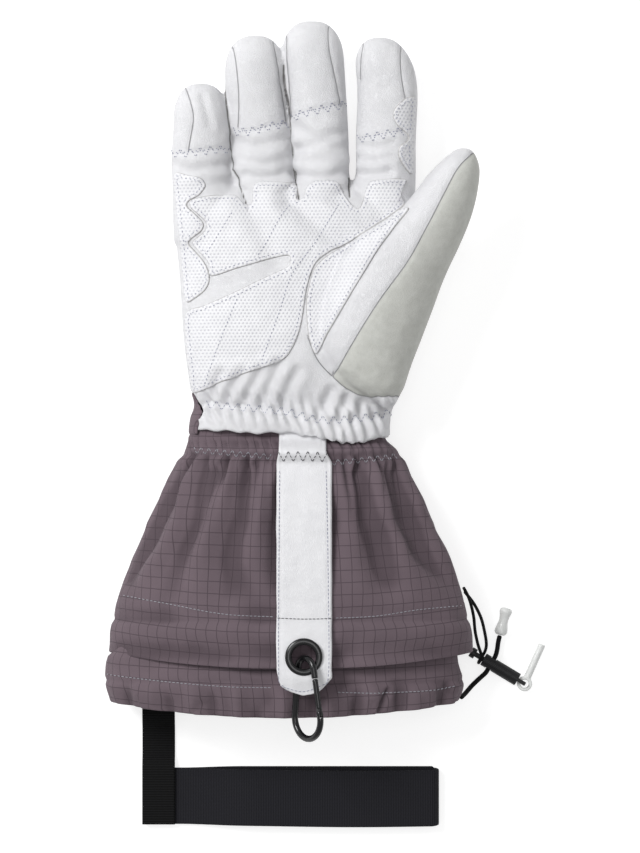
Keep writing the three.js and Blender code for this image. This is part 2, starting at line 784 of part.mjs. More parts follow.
const bottomArc = arcPoints(carabinerBottomRadius, bottomCentre, slant, -Math.PI - slant, 12);
const topArc = arcPoints(carabinerTopRadius, topCentre, Math.PI - slant, slant, 9);
const armFoot = bottomArc[0];
const armHead = topArc[topArc.length - 1];
const armWay = armHead.clone().sub(armFoot).normalize();
const hinge = armFoot.clone().addScaledVector(armWay, hingeInset);
const onArm = (along) => hinge.clone().addScaledVector(armWay, along);
const cheekEnd = 0.45 * wireDiameter;
const wirePoints = [onArm(cheekEnd), ...bottomArc, ...topArc, onArm(gateLength + fitGap)];

// A round rod, as rings square to the way between its neighbours, in the carabiner's plane
function planeRod(points, diameter, sides) {
  const rings = points.map((point, i) => {
    const before = points[Math.max(0, i - 1)];
    const after = points[Math.min(points.length - 1, i + 1)];
    const way = after.clone().sub(before).normalize();
    const across = new THREE.Vector3(way.y, -way.x, 0);
    return Array.from({ length: sides }, (_, k) => {
      const turn = (2 * Math.PI * k) / sides;
      const side = across.clone().multiplyScalar((diameter / 2) * Math.cos(turn));
      return point.clone().add(side).setZ((diameter / 2) * Math.sin(turn));
    });
  });
  return skin(rings);
}

const armAngle = Math.atan2(armWay.y, armWay.x) - Math.PI / 2;
const alongArm = (solid, along) => {
  const at = onArm(along);
  const turn = new THREE.Matrix4().makeRotationZ(armAngle);
  return placed(solid, turn.premultiply(new THREE.Matrix4().makeTranslation(at.x, at.y, 0)));
};
const slotReach = 2 * wireDiameter;
const slotMiddle = [0, slotReach / 2 - hingeSlotBack, 0];
const tongueSlot = block([slotReach, slotReach, gateTongue + 2 * fitGap], slotMiddle);
const pin = cylinder(gatePinDiameter, wireDiameter - 0.4, "z", [0, 0, 0], 10);
const carabinerBody = planeRod(wirePoints, wireDiameter, 8)
  .subtract(alongArm(tongueSlot, 0))
  .add(alongArm(pin, 0));
const tongueWide = gateDiameter - 0.2;
const tongueReach = cheekEnd + tongueGrip;
const tongue = block([tongueWide, tongueReach, gateTongue], [0, tongueReach / 2, 0])
  .add(cylinder(tongueWide, gateTongue, "z", [0, 0, 0], 12))
  .subtract(cylinder(gatePinDiameter + 2 * fitGap, 4, "z", [0, 0, 0], 12));
const gateRod = planeRod([onArm(cheekEnd + tongueGrip / 2), onArm(gateLength)], gateDiameter, 10);
const gate = gateRod.add(alongArm(tongue, 0));
addPiece("carabiner_body", placed(carabinerBody, carabinerPlace), finish.metal);
addPiece("carabiner_gate", placed(gate, carabinerPlace), finish.metal);

// The cord lock lies on the surface. Its own X runs from the plunger's head to the far end of the barrel.
const lockZ = barrelDiameter / 2;
const lockPlace = new THREE.Matrix4()
  .makeTranslation(barrelX, barrelY, lockZ)
  .multiply(new THREE.Matrix4().makeRotationZ(barrelTurn * radians));
const holeX = crossHoleInset + cordDiameter / 2;
const crossWide = cordDiameter + 2 * fitGap;
const crossHole = block([crossWide, 3 * barrelDiameter, crossWide], [holeX, 0, 0]);
const ringTabX = barrelLength + fitGap + ringTabOuter / 2;
const lugX = ringTabX - ringTabHole / 2 + fitGap + lugDiameter / 2;
const lugZ = lockZ - lugDiameter / 2 - 0.1;
const lugRun = lugX + lugDiameter / 2 - barrelLength + lugRoot;
const lug = cylinder(lugDiameter, lugRun, "x", [barrelLength - lugRoot + lugRun / 2, 0, lugZ], 10).add(
  cylinder(lugDiameter, lugHeight, "z", [lugX, 0, lugZ - lugHeight / 4], 10),
);
const barrel = cylinder(barrelDiameter, barrelLength, "x", [barrelLength / 2, 0, 0], 18)
  .subtract(cylinder(barrelBore, barrelBoreDepth, "x", [barrelBoreDepth / 2 - 0.01, 0, 0], 18))
  .subtract(crossHole)
  .add(lug);
addPiece("cord_lock_barrel", placed(barrel, lockPlace), finish.plastic);

const neckReach = plungerStroke + tetherDiameter + 3 * fitGap;
const plungerTail = barrelBoreDepth - plungerStroke - 2 * fitGap - 2;
const plungerSlot = block(
  [crossWide + plungerStroke, 3 * plungerDiameter, crossWide],
  [holeX - plungerStroke / 2, 0, 0],
);
const plunger = cylinder(plungerDiameter, plungerTail - 0.4, "x", [(plungerTail + 0.4) / 2, 0, 0], 12)
  .add(cylinder(plungerNeck, neckReach + 1, "x", [(1 - neckReach) / 2, 0, 0], 12))
  .subtract(plungerSlot)
  .add(cylinder(plungerHead, plungerHeadLength, "x", [-neckReach - plungerHeadLength / 2, 0, 0], 12));
addPiece("cord_lock_plunger", placed(plunger, lockPlace), finish.plastic);

// Cords: the drawcord out of the hem, through the lock to its tab, and the tether loop that holds the lock
const drawcord = cordCurve(drawcordPoints);
const tether = cordCurve(tetherPoints);
addPiece("drawcord", tube(drawcord, cordDiameter, 8, 18), finish.webbing);
addPiece("lock_tether", tube(tether, tetherDiameter, 8, 28), finish.webbing);

// Pull tabs
const tabWay = drawcord.getTangent(1).setZ(0).normalize();
const tabTurn = Math.atan2(tabWay.y, tabWay.x);
const tabProfile = [
  [0, 0],
  [0.36, 0],
  [0.5, 0.1],
  [0.5, 0.2],
  [0.36, 0.48],
  [0.4, 0.7],
  [0.5, 0.86],
  [0.42, 0.96],
  [0, 1],
].map(([r, l]) => new THREE.Vector2(r * tabDiameter, l * tabLength));
const tabStart = drawcord.getPoint(1).addScaledVector(tabWay, fitGap);
const cordTab = new THREE.LatheGeometry(tabProfile, 14).rotateZ(tabTurn - Math.PI / 2);
const tabZ = tabDiameter / 2 + 0.01;
addPiece("pull_tab_cord", solidOf(cordTab.translate(tabStart.x, tabStart.y, tabZ)), finish.tab);

const ringPlace = new THREE.Vector3(ringTabX, 0, -lockZ).applyMatrix4(lockPlace);
const ringTurn = 66 * radians;
const ringTubeX = (ringTabOuter + ringTabReach) / 2 - 1;
const ringTube = cylinder(ringTabTube, ringTabReach, "x", [ringTubeX, 0, 0], 12);
const ringTab = cylinder(ringTabOuter, ringTabHeight, "z", [0, 0, 0], 20)
  .add(ringTube)
  .subtract(cylinder(ringTabHole, 2 * ringTabHeight, "z", [0, 0, 0], 16));
const ringMatrix = new THREE.Matrix4()
  .makeTranslation(ringPlace.x, ringPlace.y, ringTabHeight / 2)
  .multiply(new THREE.Matrix4().makeRotationZ(ringTurn));
addPiece("pull_tab_lock", placed(ringTab, ringMatrix), finish.tab);

// The leash: an elastic loop lying flat, and a webbing from inside the hem to the loop's sewn end
const loopLeft = webbingX - webbingWidth / 2 + 0.6;
const sewnHeight = 2 * elasticThickness + 0.2;
const loopOutline = (inset) => {
  const half = elasticLoop / 2 - inset;
  const centreX = elasticEndX - elasticLoop / 2;
  const arc = spaced(-90, 90, 8).map((turn) => [
    centreX + half * Math.cos(turn * radians),
    elasticLoop / 2 + half * Math.sin(turn * radians),
  ]);
  const from = inset > 0 ? webbingX + webbingWidth / 2 + 4 : loopLeft;
  const high = inset > 0 ? sewnHeight - inset : sewnHeight;
  const flatEnd = webbingX + webbingWidth / 2 + 3 + inset;
  const rise = [[flatEnd + 30, elasticLoop - inset], [flatEnd, high]];
  return [[from, inset], ...arc, ...rise, ...(inset > 0 ? [] : [[from, high]])];
};
function upright(outline, width, middleY) {
  const shape = new THREE.Shape(outline.map(([x, z]) => new THREE.Vector2(x, z)));
  const geometry = new THREE.ExtrudeGeometry(shape, { depth: width, bevelEnabled: false });
  return solidOf(geometry.rotateX(Math.PI / 2).translate(0, middleY + width / 2, 0));
}
const elastic = upright(loopOutline(0), elasticWidth, elasticY).subtract(
  upright(loopOutline(elasticThickness), elasticWidth + 2, elasticY),
);
addPiece("leash_elastic", elastic, finish.webbing);

const webbingRest = sewnHeight + fitGap;
const webbingHigh = hemWall + 5 * fitGap;
const hemEndY = hemForm.y - hemLength - hemBow;
const webbingPath = [
  [hemEndY + 16, webbingHigh],
  [hemEndY - 1, webbingHigh],
  [hemEndY - 7, 0.02],
  [elasticY + elasticWidth / 2 + 5, 0.02],
  [elasticY + elasticWidth / 2 + 1, webbingRest],
  [webbingEndY, webbingRest],
];
const webbingBottom = (x, y) => {
  const i = Math.max(1, webbingPath.findIndex(([at]) => y >= at));
  const [[y0, z0], [y1, z1]] = [webbingPath[i - 1], webbingPath[i]];
  return z0 + ((z1 - z0) * (y - y0)) / (y1 - y0);
};
const webbingXs = [webbingX - webbingWidth / 2, webbingX + webbingWidth / 2];
const webbing = draped(webbingXs, webbingPath.map(([y]) => y), webbingBottom, webbingThickness);
addPiece("leash_webbing", webbing, finish.webbing);

export default glove;
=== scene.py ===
"""A ski glove for the right hand, lying palm up: leather hand, ripstop gauntlet, strap, cords and wrist leash."""
import math

import bmesh
import bpy
import numpy as np
from mathutils import Matrix, Vector, geometry, noise
from mathutils.bvhtree import BVHTree


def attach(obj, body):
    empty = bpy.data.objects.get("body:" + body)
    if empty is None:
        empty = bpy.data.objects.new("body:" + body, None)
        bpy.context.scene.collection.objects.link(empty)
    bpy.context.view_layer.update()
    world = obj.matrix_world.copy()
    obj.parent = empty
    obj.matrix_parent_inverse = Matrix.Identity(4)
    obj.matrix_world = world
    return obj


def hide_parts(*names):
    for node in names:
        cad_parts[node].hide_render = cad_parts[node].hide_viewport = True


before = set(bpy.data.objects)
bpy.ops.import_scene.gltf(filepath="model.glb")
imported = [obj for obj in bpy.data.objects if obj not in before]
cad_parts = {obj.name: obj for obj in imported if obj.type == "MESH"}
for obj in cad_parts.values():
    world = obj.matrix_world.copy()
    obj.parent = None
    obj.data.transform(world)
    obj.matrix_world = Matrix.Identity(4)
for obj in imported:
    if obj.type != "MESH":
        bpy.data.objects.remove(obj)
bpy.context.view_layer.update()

# Lengths in this script are millimetres, and meshes are made in metres.
MM = 0.001

# Walls and raised layers
LEATHER_WALL = 2.6
FABRIC_WALL = 1.3
STRAP_THICKNESS = 1.6
PATCH_THICKNESS = 0.8

# The photograph's picture plane: millimetres for each pixel, and the pixel over the glove's own zero
PIXEL = 0.5
ZERO_U, ZERO_V = 291.0, 426.0
PICTURE_MIDDLE = (14.5, -0.25)
PICTURE_HEIGHT = 426.5


def seen(*pixels):
    """Points of the photograph, as millimetres in the plane that the glove lies on."""
    return np.array([((u - ZERO_U) * PIXEL, (ZERO_V - v) * PIXEL) for u, v in pixels])


def eased(value):
    """0 below 0, 1 above 1 and a smooth step between them."""
    t = np.clip(value, 0, 1)
    return t * t * (3 - 2 * t)


def bump_at(value, middle, width):
    """A bell of height 1 about the middle."""
    return np.exp(-(((value - middle) / width) ** 2))


# Camera, above the middle of the picture with a long lens
camera_data = bpy.data.cameras.new("camera")
camera = bpy.data.objects.new("camera", camera_data)
bpy.context.collection.objects.link(camera)
CAMERA_HEIGHT = 2500.0
OBJECT_MIDDLE_Z = 25.0
camera.location = (PICTURE_MIDDLE[0] * MM, PICTURE_MIDDLE[1] * MM, CAMERA_HEIGHT * MM)
camera_data.sensor_width = 36.0
camera_data.lens = camera_data.sensor_width * (CAMERA_HEIGHT - OBJECT_MIDDLE_Z) / PICTURE_HEIGHT
camera_data.clip_end = 20.0
bpy.context.scene.camera = camera


def deselect():
    """Nothing is selected and nothing is being edited."""
    if bpy.context.mode != "OBJECT":
        bpy.ops.object.mode_set(mode="OBJECT")
    bpy.ops.object.select_all(action="DESELECT")


def use(piece):
    """Makes a piece the only one selected."""
    deselect()
    piece.select_set(True)
    bpy.context.view_layer.objects.active = piece


def modified(piece, kind, **settings):
    """Adds a modifier with its settings and applies it."""
    use(piece)
    modifier = piece.modifiers.new(kind.lower(), kind)
    for name, value in settings.items():
        setattr(modifier, name, value)
    bpy.ops.object.modifier_apply(modifier=modifier.name)
    return piece


def smooth(piece, angle=40.0):
    """Smooth shading, with edges kept where faces meet at more than the angle."""
    use(piece)
    bpy.ops.object.shade_smooth_by_angle(angle=math.radians(angle))
    return piece


def mesh_piece(name, points, faces):
    """An object from points in millimetres."""
    mesh = bpy.data.meshes.new(name)
    mesh.from_pydata((np.asarray(points, float) * MM).tolist(), [], faces)
    mesh.update()
    piece = bpy.data.objects.new(name, mesh)
    bpy.context.collection.objects.link(piece)
    return piece


def grid_piece(name, points, closed=False, weave=None, caps=False):
    """A surface over rows and columns of points. weave holds its threads' places, in millimetres, as a UV map."""
    rows, columns = points.shape[:2]
    across = columns if closed else columns - 1
    faces = []
    corners = []
    for r in range(rows - 1):
        for c in range(across):
            d = (c + 1) % columns
            faces.append((r * columns + c, r * columns + d, (r + 1) * columns + d, (r + 1) * columns + c))
            corners.append(((r, c), (r, c + 1), (r + 1, c + 1), (r + 1, c)))
    flat = points.reshape(-1, 3)
    if caps:
        faces.append(tuple(range(columns))[::-1])
        faces.append(tuple((rows - 1) * columns + c for c in range(columns)))
    piece = mesh_piece(name, flat, faces)
    if weave is not None:
        layer = piece.data.uv_layers.new(name="Weave")
        values = np.zeros((len(piece.data.loops), 2), np.float32)
        for i, face in enumerate(corners):
            for k, (r, c) in enumerate(face):
                values[4 * i + k] = weave[r, c]
        layer.data.foreach_set("uv", values.ravel())
    return piece


def outward(piece):
    """Turns all faces of a closed piece outwards."""
    use(piece)
    bpy.ops.object.mode_set(mode="EDIT")
    bpy.ops.mesh.select_all(action="SELECT")
    bpy.ops.mesh.remove_doubles(threshold=0.00001)
    bpy.ops.mesh.normals_make_consistent(inside=False)
    bpy.ops.object.mode_set(mode="OBJECT")
    return piece


def joined(pieces, name):
    """One object made of several."""
    deselect()
    for piece in pieces:
        piece.select_set(True)
    bpy.context.view_layer.objects.active = pieces[0]
    bpy.ops.object.join()
    pieces[0].name = name
    pieces[0].data.name = name
    return pieces[0]


def boolean(piece, other, operation, keep=False):
    """Joins, cuts or intersects a piece with another."""
    modified(piece, "BOOLEAN", object=other, operation=operation, solver="EXACT")
    if not keep:
        bpy.data.objects.remove(other)
    return piece


def coordinates(piece):
    """A piece's points in millimetres, and its normals."""
    count = len(piece.data.vertices)
    points = np.zeros(count * 3)
    normals = np.zeros(count * 3)
    piece.data.vertices.foreach_get("co", points)
    piece.data.vertices.foreach_get("normal", normals)
    return points.reshape(-1, 3) / MM, normals.reshape(-1, 3)


def set_points(piece, points):
    """Moves a piece's points, given in millimetres."""
    piece.data.vertices.foreach_set("co", (np.asarray(points) * MM).ravel())
    piece.data.update()


def set_attribute(piece, name, values):
    """Stores one number for each point."""
    attribute = piece.data.attributes.new(name, "FLOAT", "POINT")
    attribute.data.foreach_set("value", np.asarray(values, np.float32))


def surface_of(*pieces):
    """A search tree over the faces of some pieces."""
    points, corners = [], []
    for piece in pieces:
        mesh = piece.data
        mesh.calc_loop_triangles()
        corners += [tuple(len(points) + i for i in t.vertices) for t in mesh.loop_triangles]
        points += [v.co.copy() for v in mesh.vertices]
    return BVHTree.FromPolygons(points, corners)


def ruffle(points, size, seed=0.0):
    """Smooth noise from -1 to 1 at each point, with lumps of about the given size."""
    return np.array([noise.noise(Vector((p[0] / size + seed, p[1] / size, p[2] / size))) for p in points])


def smoothed_line(points, step=0.8, closed=False):
    """A curve through given points, sampled evenly."""
    p = np.asarray(points, float)
    count = len(p)
    curve = []
    spans = count if closed else count - 1
    for i in range(spans):
        pick = [(i + k) % count if closed else min(max(i + k, 0), count - 1) for k in (-1, 0, 1, 2)]
        a, b, c, d = p[pick]
        for t in np.linspace(0, 1, 12, endpoint=False):
            curve.append(b + 0.5 * t * (c - a + t * (2 * a - 5 * b + 4 * c - d + t * (3 * (b - c) + d - a))))
    curve.append(p[0] if closed else p[-1])
    return evenly(np.array(curve), step)


def evenly(line, step):
    """The same line with its points an even step apart."""
    run = np.concatenate([[0], np.cumsum(np.linalg.norm(np.diff(line, axis=0), axis=1))])
    count = max(2, int(round(run[-1] / step)) + 1)
    at = np.linspace(0, run[-1], count)
    return np.stack([np.interp(at, run, line[:, k]) for k in range(line.shape[1])], 1)


def signed_distance(points, line):
    """Each point's distance from a line seen from above: over 0 on its left, below 0 on its right."""
    starts, ends = line[:-1, :2], line[1:, :2]
    ways = ends - starts
    lengths = np.maximum((ways**2).sum(1), 1e-9)
    result = np.full(len(points), 1e9)
    sign = np.ones(len(points))
    for start, way, length in zip(starts, ways, lengths):
        offset = points[:, :2] - start
        share = (offset @ way) / length
        held = np.clip(share, 0, 1)
        gap = offset - held[:, None] * way
        distance = np.hypot(gap[:, 0], gap[:, 1])
        nearer = distance < result
        side = np.where(way[0] * offset[:, 1] - way[1] * offset[:, 0] >= 0, 1.0, -1.0)
        sign = np.where(nearer, side, sign)
        result = np.where(nearer, distance, result)
    return result * sign


def inside(points, outline):
    """True for points inside an outline seen from above."""
    x, y = points[:, 0], points[:, 1]
    crossings = np.zeros(len(points), int)
    previous = outline[-1]
    for corner in outline:
        (x0, y0), (x1, y1) = previous, corner
        spans = (y0 > y) != (y1 > y)
        reach = x0 + (y - y0) * (x1 - x0) / (y1 - y0 if y1 != y0 else 1e-9)
        crossings += spans & (x < reach)
        previous = corner
    return crossings % 2 == 1


# Shader maths as Python expressions
class Wire:
    """A number in a material. Python's operators add its Math nodes."""

    def __init__(self, finish, socket):
        self.finish = finish
        self.socket = socket

    def __add__(self, other):
        return self.finish.maths("ADD", self, other)

    def __radd__(self, other):
        return self.finish.maths("ADD", other, self)

    def __sub__(self, other):
        return self.finish.maths("SUBTRACT", self, other)

    def __rsub__(self, other):
        return self.finish.maths("SUBTRACT", other, self)

    def __mul__(self, other):
        return self.finish.maths("MULTIPLY", self, other)

    def __rmul__(self, other):
        return self.finish.maths("MULTIPLY", other, self)

    def __truediv__(self, other):
        return self.finish.maths("DIVIDE", self, other)

    def __neg__(self):
        return self.finish.maths("MULTIPLY", self, -1.0)


class Finish:
    """One material, ending in a Principled shader."""

    def __init__(self, name, metallic=0.0, coat=0.0, sheen=0.0, sheen_tint=(1, 1, 1), gloss=0.5):
        self.material = bpy.data.materials.new(name)
        self.material.use_nodes = True
        self.tree = self.material.node_tree
        self.tree.nodes.clear()
        self.shader = self.tree.nodes.new("ShaderNodeBsdfPrincipled")
        self.shader.inputs["Metallic"].default_value = metallic
        self.shader.inputs["Coat Weight"].default_value = coat
        self.shader.inputs["Coat Roughness"].default_value = 0.12
        self.shader.inputs["Specular IOR Level"].default_value = gloss
        self.shader.inputs["Sheen Weight"].default_value = sheen
        self.shader.inputs["Sheen Roughness"].default_value = 0.5
        self.shader.inputs["Sheen Tint"].default_value = (*sheen_tint, 1)
        output = self.tree.nodes.new("ShaderNodeOutputMaterial")
        self.tree.links.new(self.shader.outputs["BSDF"], output.inputs["Surface"])

    def node(self, kind, settings, values, output=0):
        """Any node: its settings, then its sockets' values or links by name or index. Gives one of its outputs."""
        made = self.tree.nodes.new(kind)
        for name, value in settings.items():
            if name == "stops":
                self.set_stops(made.color_ramp, value)
            else:
                setattr(made, name, value)
        for key, value in values.items():
            self.plug(made.inputs[key], value)
        return Wire(self, made.outputs[output])

    def set_stops(self, ramp, stops):
        """Colour ramp stops, as (place, colour) pairs."""
        while len(ramp.elements) < len(stops):
            ramp.elements.new(1.0)
        for element, (place, colour) in zip(ramp.elements, stops):
            element.position = place
            element.color = (*colour, 1) if len(colour) == 3 else colour

    def plug(self, socket, value):
        """Links a wire to a socket, or sets its value."""
        if isinstance(value, Wire):
            self.tree.links.new(value.socket, socket)
        elif isinstance(value, tuple) and len(value) == 3 and socket.type == "RGBA":
            socket.default_value = (*value, 1)
        else:
            socket.default_value = value

    def maths(self, operation, *values):
        return self.node("ShaderNodeMath", {"operation": operation}, dict(enumerate(values)))

    def least(self, a, b):
        return self.maths("MINIMUM", a, b)

    def most(self, a, b):
        return self.maths("MAXIMUM", a, b)

    def size(self, a):
        return self.maths("ABSOLUTE", a)

    def between(self, value, low, high):
        """A smooth step from 0 at low to 1 at high."""
        settings = {"interpolation_type": "SMOOTHSTEP", "clamp": True}
        return self.node("ShaderNodeMapRange", settings, {"Value": value, "From Min": low, "From Max": high})

    def place(self):
        """Object coordinates in millimetres."""
        raw = self.node("ShaderNodeTexCoord", {}, {}, "Object")
        return self.node("ShaderNodeVectorMath", {"operation": "SCALE"}, {0: raw, "Scale": 1 / MM})

    def parts(self, vector):
        """The X, Y and Z of a vector."""
        split = self.node("ShaderNodeSeparateXYZ", {}, {0: vector})
        return [Wire(self, socket) for socket in split.socket.node.outputs]

    def weave(self):
        """The threads' places along and across a woven piece, in millimetres."""
        return self.parts(self.node("ShaderNodeUVMap", {"uv_map": "Weave"}, {}))[:2]

    def attribute(self, name):
        return self.node("ShaderNodeAttribute", {"attribute_name": name}, {}, "Fac")

    def grain(self, vector, size, detail=2.0, roughness=0.5):
        """Noise from 0 to 1 with lumps of a size in millimetres."""
        values = {"Vector": vector, "Scale": 1 / size, "Detail": detail, "Roughness": roughness}
        return self.node("ShaderNodeTexNoise", {}, values, 0)

    def cells(self, vector, size, feature="F1"):
        """Distance from the middles or edges of cells of a size in millimetres."""
        values = {"Vector": vector, "Scale": 1 / size}
        return self.node("ShaderNodeTexVoronoi", {"feature": feature}, values, "Distance")

    def blend(self, factor, a, b):
        """A colour between two colours."""
        settings = {"data_type": "RGBA"}
        return self.node("ShaderNodeMix", settings, {0: factor, 6: a, 7: b}, 2)

    def repeat(self, value, period):
        """The distance from the nearest multiple of a period."""
        return self.size(self.maths("PINGPONG", value, period / 2))

    def dressed(self, colour, roughness, height=None, depth=0.1):
        """Fills in the shader. height runs from 0 to 1 for a relief of the given depth in millimetres."""
        self.plug(self.shader.inputs["Base Color"], colour)
        self.plug(self.shader.inputs["Roughness"], roughness)
        if height is not None:
            values = {"Height": height, "Strength": 1.0, "Distance": depth * MM}
            self.plug(self.shader.inputs["Normal"], self.node("ShaderNodeBump", {}, values))
        return self.material


def leather_relief(finish, place):
    """Fine pebbled grain with soft creases."""
    pebbles = finish.between(finish.cells(place, 0.75, "DISTANCE_TO_EDGE"), 0.0, 0.25)
    soft = finish.grain(place, 2.6, 3.0)
    return pebbles * 0.45 + soft * 0.55


WHITE_LEATHER = (0.70, 0.70, 0.715)
LEATHER_SHADE = (0.62, 0.62, 0.64)
SEAM_SHADE = (0.22, 0.22, 0.23)
# The colour of the painted shade in the gaps between pressed fingers.
GAP_PAINTED_SHADE = (0.06, 0.055, 0.05)
PATCH_EDGE_TONE_AND_PAINTED_SHADE = (0.27, 0.26, 0.24)


def hand_leather():
    """White leather. Its seams are dark lines, the gaps between pressed fingers are darkened with painted shade, and
    the thumb's outer panel is brushed like suede.
    """
    finish = Finish("hand_leather")
    place = finish.place()
    mottled = finish.grain(place, 14.0, 3.0)
    base = finish.blend(mottled, WHITE_LEATHER, LEATHER_SHADE)
    nap = finish.grain(place, 0.5, 3.0, 0.7)
    brushed = finish.grain(place, 3.6, 4.0, 0.65) * 0.7 + nap * 0.3
    suede = finish.blend(brushed, (0.36, 0.365, 0.335), (0.60, 0.605, 0.575))
    panel = finish.between(finish.attribute("suede"), -0.15, 0.15)
    near = 1 - finish.between(finish.attribute("seam_near"), 0.9, 1.5)
    seam = (1 - finish.between(finish.size(finish.attribute("seam")), 0.1, 0.36)) * near
    # Painted shade in the narrow gaps where neighbouring fingers press together.
    gap = 1 - finish.between(finish.attribute("gap"), 0.1, 0.75)
    sewn = finish.blend(seam * 0.68, finish.blend(panel, base, suede), SEAM_SHADE)
    colour = finish.blend(gap * 0.9, sewn, GAP_PAINTED_SHADE)
    relief = leather_relief(finish, place) * (1 - panel) + nap * panel * 0.8
    height = relief - seam * 1.4
    return finish.dressed(colour, 0.52 + 0.3 * panel + 0.1 * mottled, height, 0.34)


def grip_leather():
    """White leather embossed all over with rows of small dots. A thin line along its edge is partly the cut edge's
    grey-beige tone and partly painted shade.
    """
    finish = Finish("grip_leather")
    place = finish.place()
    x, y, z = finish.parts(place)
    pitch = 1.9
    tall = pitch * math.sqrt(3)

    def dots(shift):
        across = finish.repeat(x + pitch * shift, pitch)
        along = finish.repeat(y + tall * shift, tall)
        return finish.maths("SQRT", across * across + along * along)

    near = finish.least(dots(0.0), dots(0.5))
    dot = 1 - finish.between(near, 0.26, 0.6)
    mottled = finish.grain(place, 14.0, 3.0)
    worn = 0.55 + 0.45 * finish.grain(place, 9.0, 2.0)
    base = finish.blend(mottled, WHITE_LEATHER, LEATHER_SHADE)
    # A thin line along the patch's raised edge: partly the cut edge's grey-beige tone, partly painted shade.
    edge = 1 - finish.between(finish.attribute("edge"), 0.15, 0.6)
    dotted = finish.blend(dot * worn * 0.42, base, (0.34, 0.34, 0.42))
    colour = finish.blend(edge * 0.6, dotted, PATCH_EDGE_TONE_AND_PAINTED_SHADE)
    height = leather_relief(finish, place) * 0.3 + dot
    return finish.dressed(colour, 0.58 + 0.1 * mottled, height, 0.25)


def plain_leather(name):
    """White leather with its grain, for the strap."""
    finish = Finish(name)
    place = finish.place()
    mottled = finish.grain(place, 12.0, 3.0)
    colour = finish.blend(mottled, WHITE_LEATHER, LEATHER_SHADE)
    return finish.dressed(colour, 0.52 + 0.12 * mottled, leather_relief(finish, place), 0.2)


def ripstop(name):
    """Purple-grey fabric with a grid of thin darker threads, and painted shade in the valleys of its folds."""
    finish = Finish(name, sheen=0.06, sheen_tint=(0.8, 0.7, 0.76), gloss=0.25)
    u, v = finish.weave()
    place = finish.place()
    wave_u = (finish.grain(place, 9.0) - 0.5) * 0.5
    across = finish.repeat(u + wave_u, 5.2)
    along = finish.repeat(v + wave_u, 5.7)
    line = 1 - finish.between(finish.least(across, along), 0.08, 0.3)
    fine = finish.maths("SINE", u * (2 * math.pi / 0.42)) * finish.maths("SINE", v * (2 * math.pi / 0.42))
    cloudy = finish.grain(place, 22.0, 3.0)
    base = finish.blend(cloudy, (0.100, 0.075, 0.088), (0.134, 0.101, 0.117))
    woven = finish.blend(line * 0.58, base, (0.030, 0.021, 0.027))
    # Painted shade in the fold valleys, taken from how deep the cloth is folded in.
    fold_painted_shade = 1 - finish.between(finish.attribute("fold"), -2.4, -0.3)
    colour = finish.blend(fold_painted_shade * 0.5, woven, (0.036, 0.025, 0.031))
    height = fine * 0.25 + finish.grain(place, 0.7, 2.0) * 0.35 + line * 0.5
    return finish.dressed(colour, 0.78 + 0.1 * cloudy, height, 0.12)


def black_metal():
    finish = Finish("black_metal", metallic=0.3, coat=0.3, gloss=0.4)
    place = finish.place()
    worn = finish.grain(place, 4.0, 4.0)
    colour = finish.blend(worn, (0.004, 0.004, 0.005), (0.010, 0.010, 0.011))
    return finish.dressed(colour, 0.2 + 0.14 * worn, finish.grain(place, 0.6, 2.0), 0.015)


def black_plastic(name="black_plastic"):
    finish = Finish(name, gloss=0.3)
    place = finish.place()
    speckle = finish.grain(place, 0.5, 2.0)
    colour = finish.blend(speckle, (0.007, 0.007, 0.008), (0.016, 0.016, 0.017))
    return finish.dressed(colour, 0.42 + 0.12 * speckle, speckle, 0.03)


def braided_cord():
    """Black cord with a crossing braid around it; the grooves between its strands are darkened as painted shade."""
    finish = Finish("braided_cord", gloss=0.15)
    u, v = finish.weave()
    left = finish.repeat(u + v * 0.8, 0.9)
    right = finish.repeat(u - v * 0.8, 0.9)
    strand = finish.between(finish.least(left, right), 0.0, 0.25)
    # Darker where the strands meet and the surface sinks: painted shade in the grooves.
    colour = finish.blend(strand, (0.002, 0.002, 0.002), (0.009, 0.009, 0.010))
    return finish.dressed(colour, 0.7, strand, 0.12)


def milky_tab():
    finish = Finish("milky_tab", coat=0.15)
    finish.shader.inputs["Subsurface Weight"].default_value = 0.25
    finish.shader.inputs["Subsurface Radius"].default_value = (0.004, 0.004, 0.004)
    place = finish.place()
    cloudy = finish.grain(place, 3.0, 3.0)
    colour = finish.blend(cloudy, (0.74, 0.75, 0.74), (0.55, 0.56, 0.55))
    return finish.dressed(colour, 0.35 + 0.15 * cloudy, cloudy, 0.12)


def ribbed_webbing():
    """Black webbing with ribs straight across it; the grooves between ribs and threads are darkened as painted shade.
    """
    finish = Finish("ribbed_webbing", gloss=0.12)
    u, v = finish.weave()
    rib = finish.between(finish.repeat(v, 1.25), 0.1, 0.5)
    thread = finish.between(finish.repeat(u + v * 0.5, 0.6), 0.0, 0.25)
    # Darker in the low grooves of the relief: painted shade.
    colour = finish.blend(rib * thread, (0.002, 0.002, 0.002), (0.009, 0.009, 0.010))
    return finish.dressed(colour, 0.75, rib * 0.8 + thread * 0.2, 0.22)


def woven_elastic():
    """Black elastic with close lengthwise cords crossed by fine threads; the grooves between them are darkened as
    painted shade.
    """
    finish = Finish("woven_elastic", gloss=0.15)
    u, v = finish.weave()
    cords = finish.between(finish.repeat(v, 0.85), 0.05, 0.36)
    cross = finish.between(finish.repeat(u + finish.repeat(v, 1.7) * 0.5, 0.7), 0.0, 0.3)
    woven = cords * 0.6 + cross * 0.4
    # Darker in the low grooves of the weave: painted shade.
    colour = finish.blend(woven, (0.004, 0.004, 0.005), (0.019, 0.019, 0.024))
    return finish.dressed(colour, 0.8, woven, 0.16)


def thread_finish(name, light, dark):
    finish = Finish(name, sheen=0.3)
    place = finish.place()
    twist = finish.grain(place, 0.35, 1.0)
    return finish.dressed(finish.blend(twist, light, dark), 0.6, twist, 0.05)


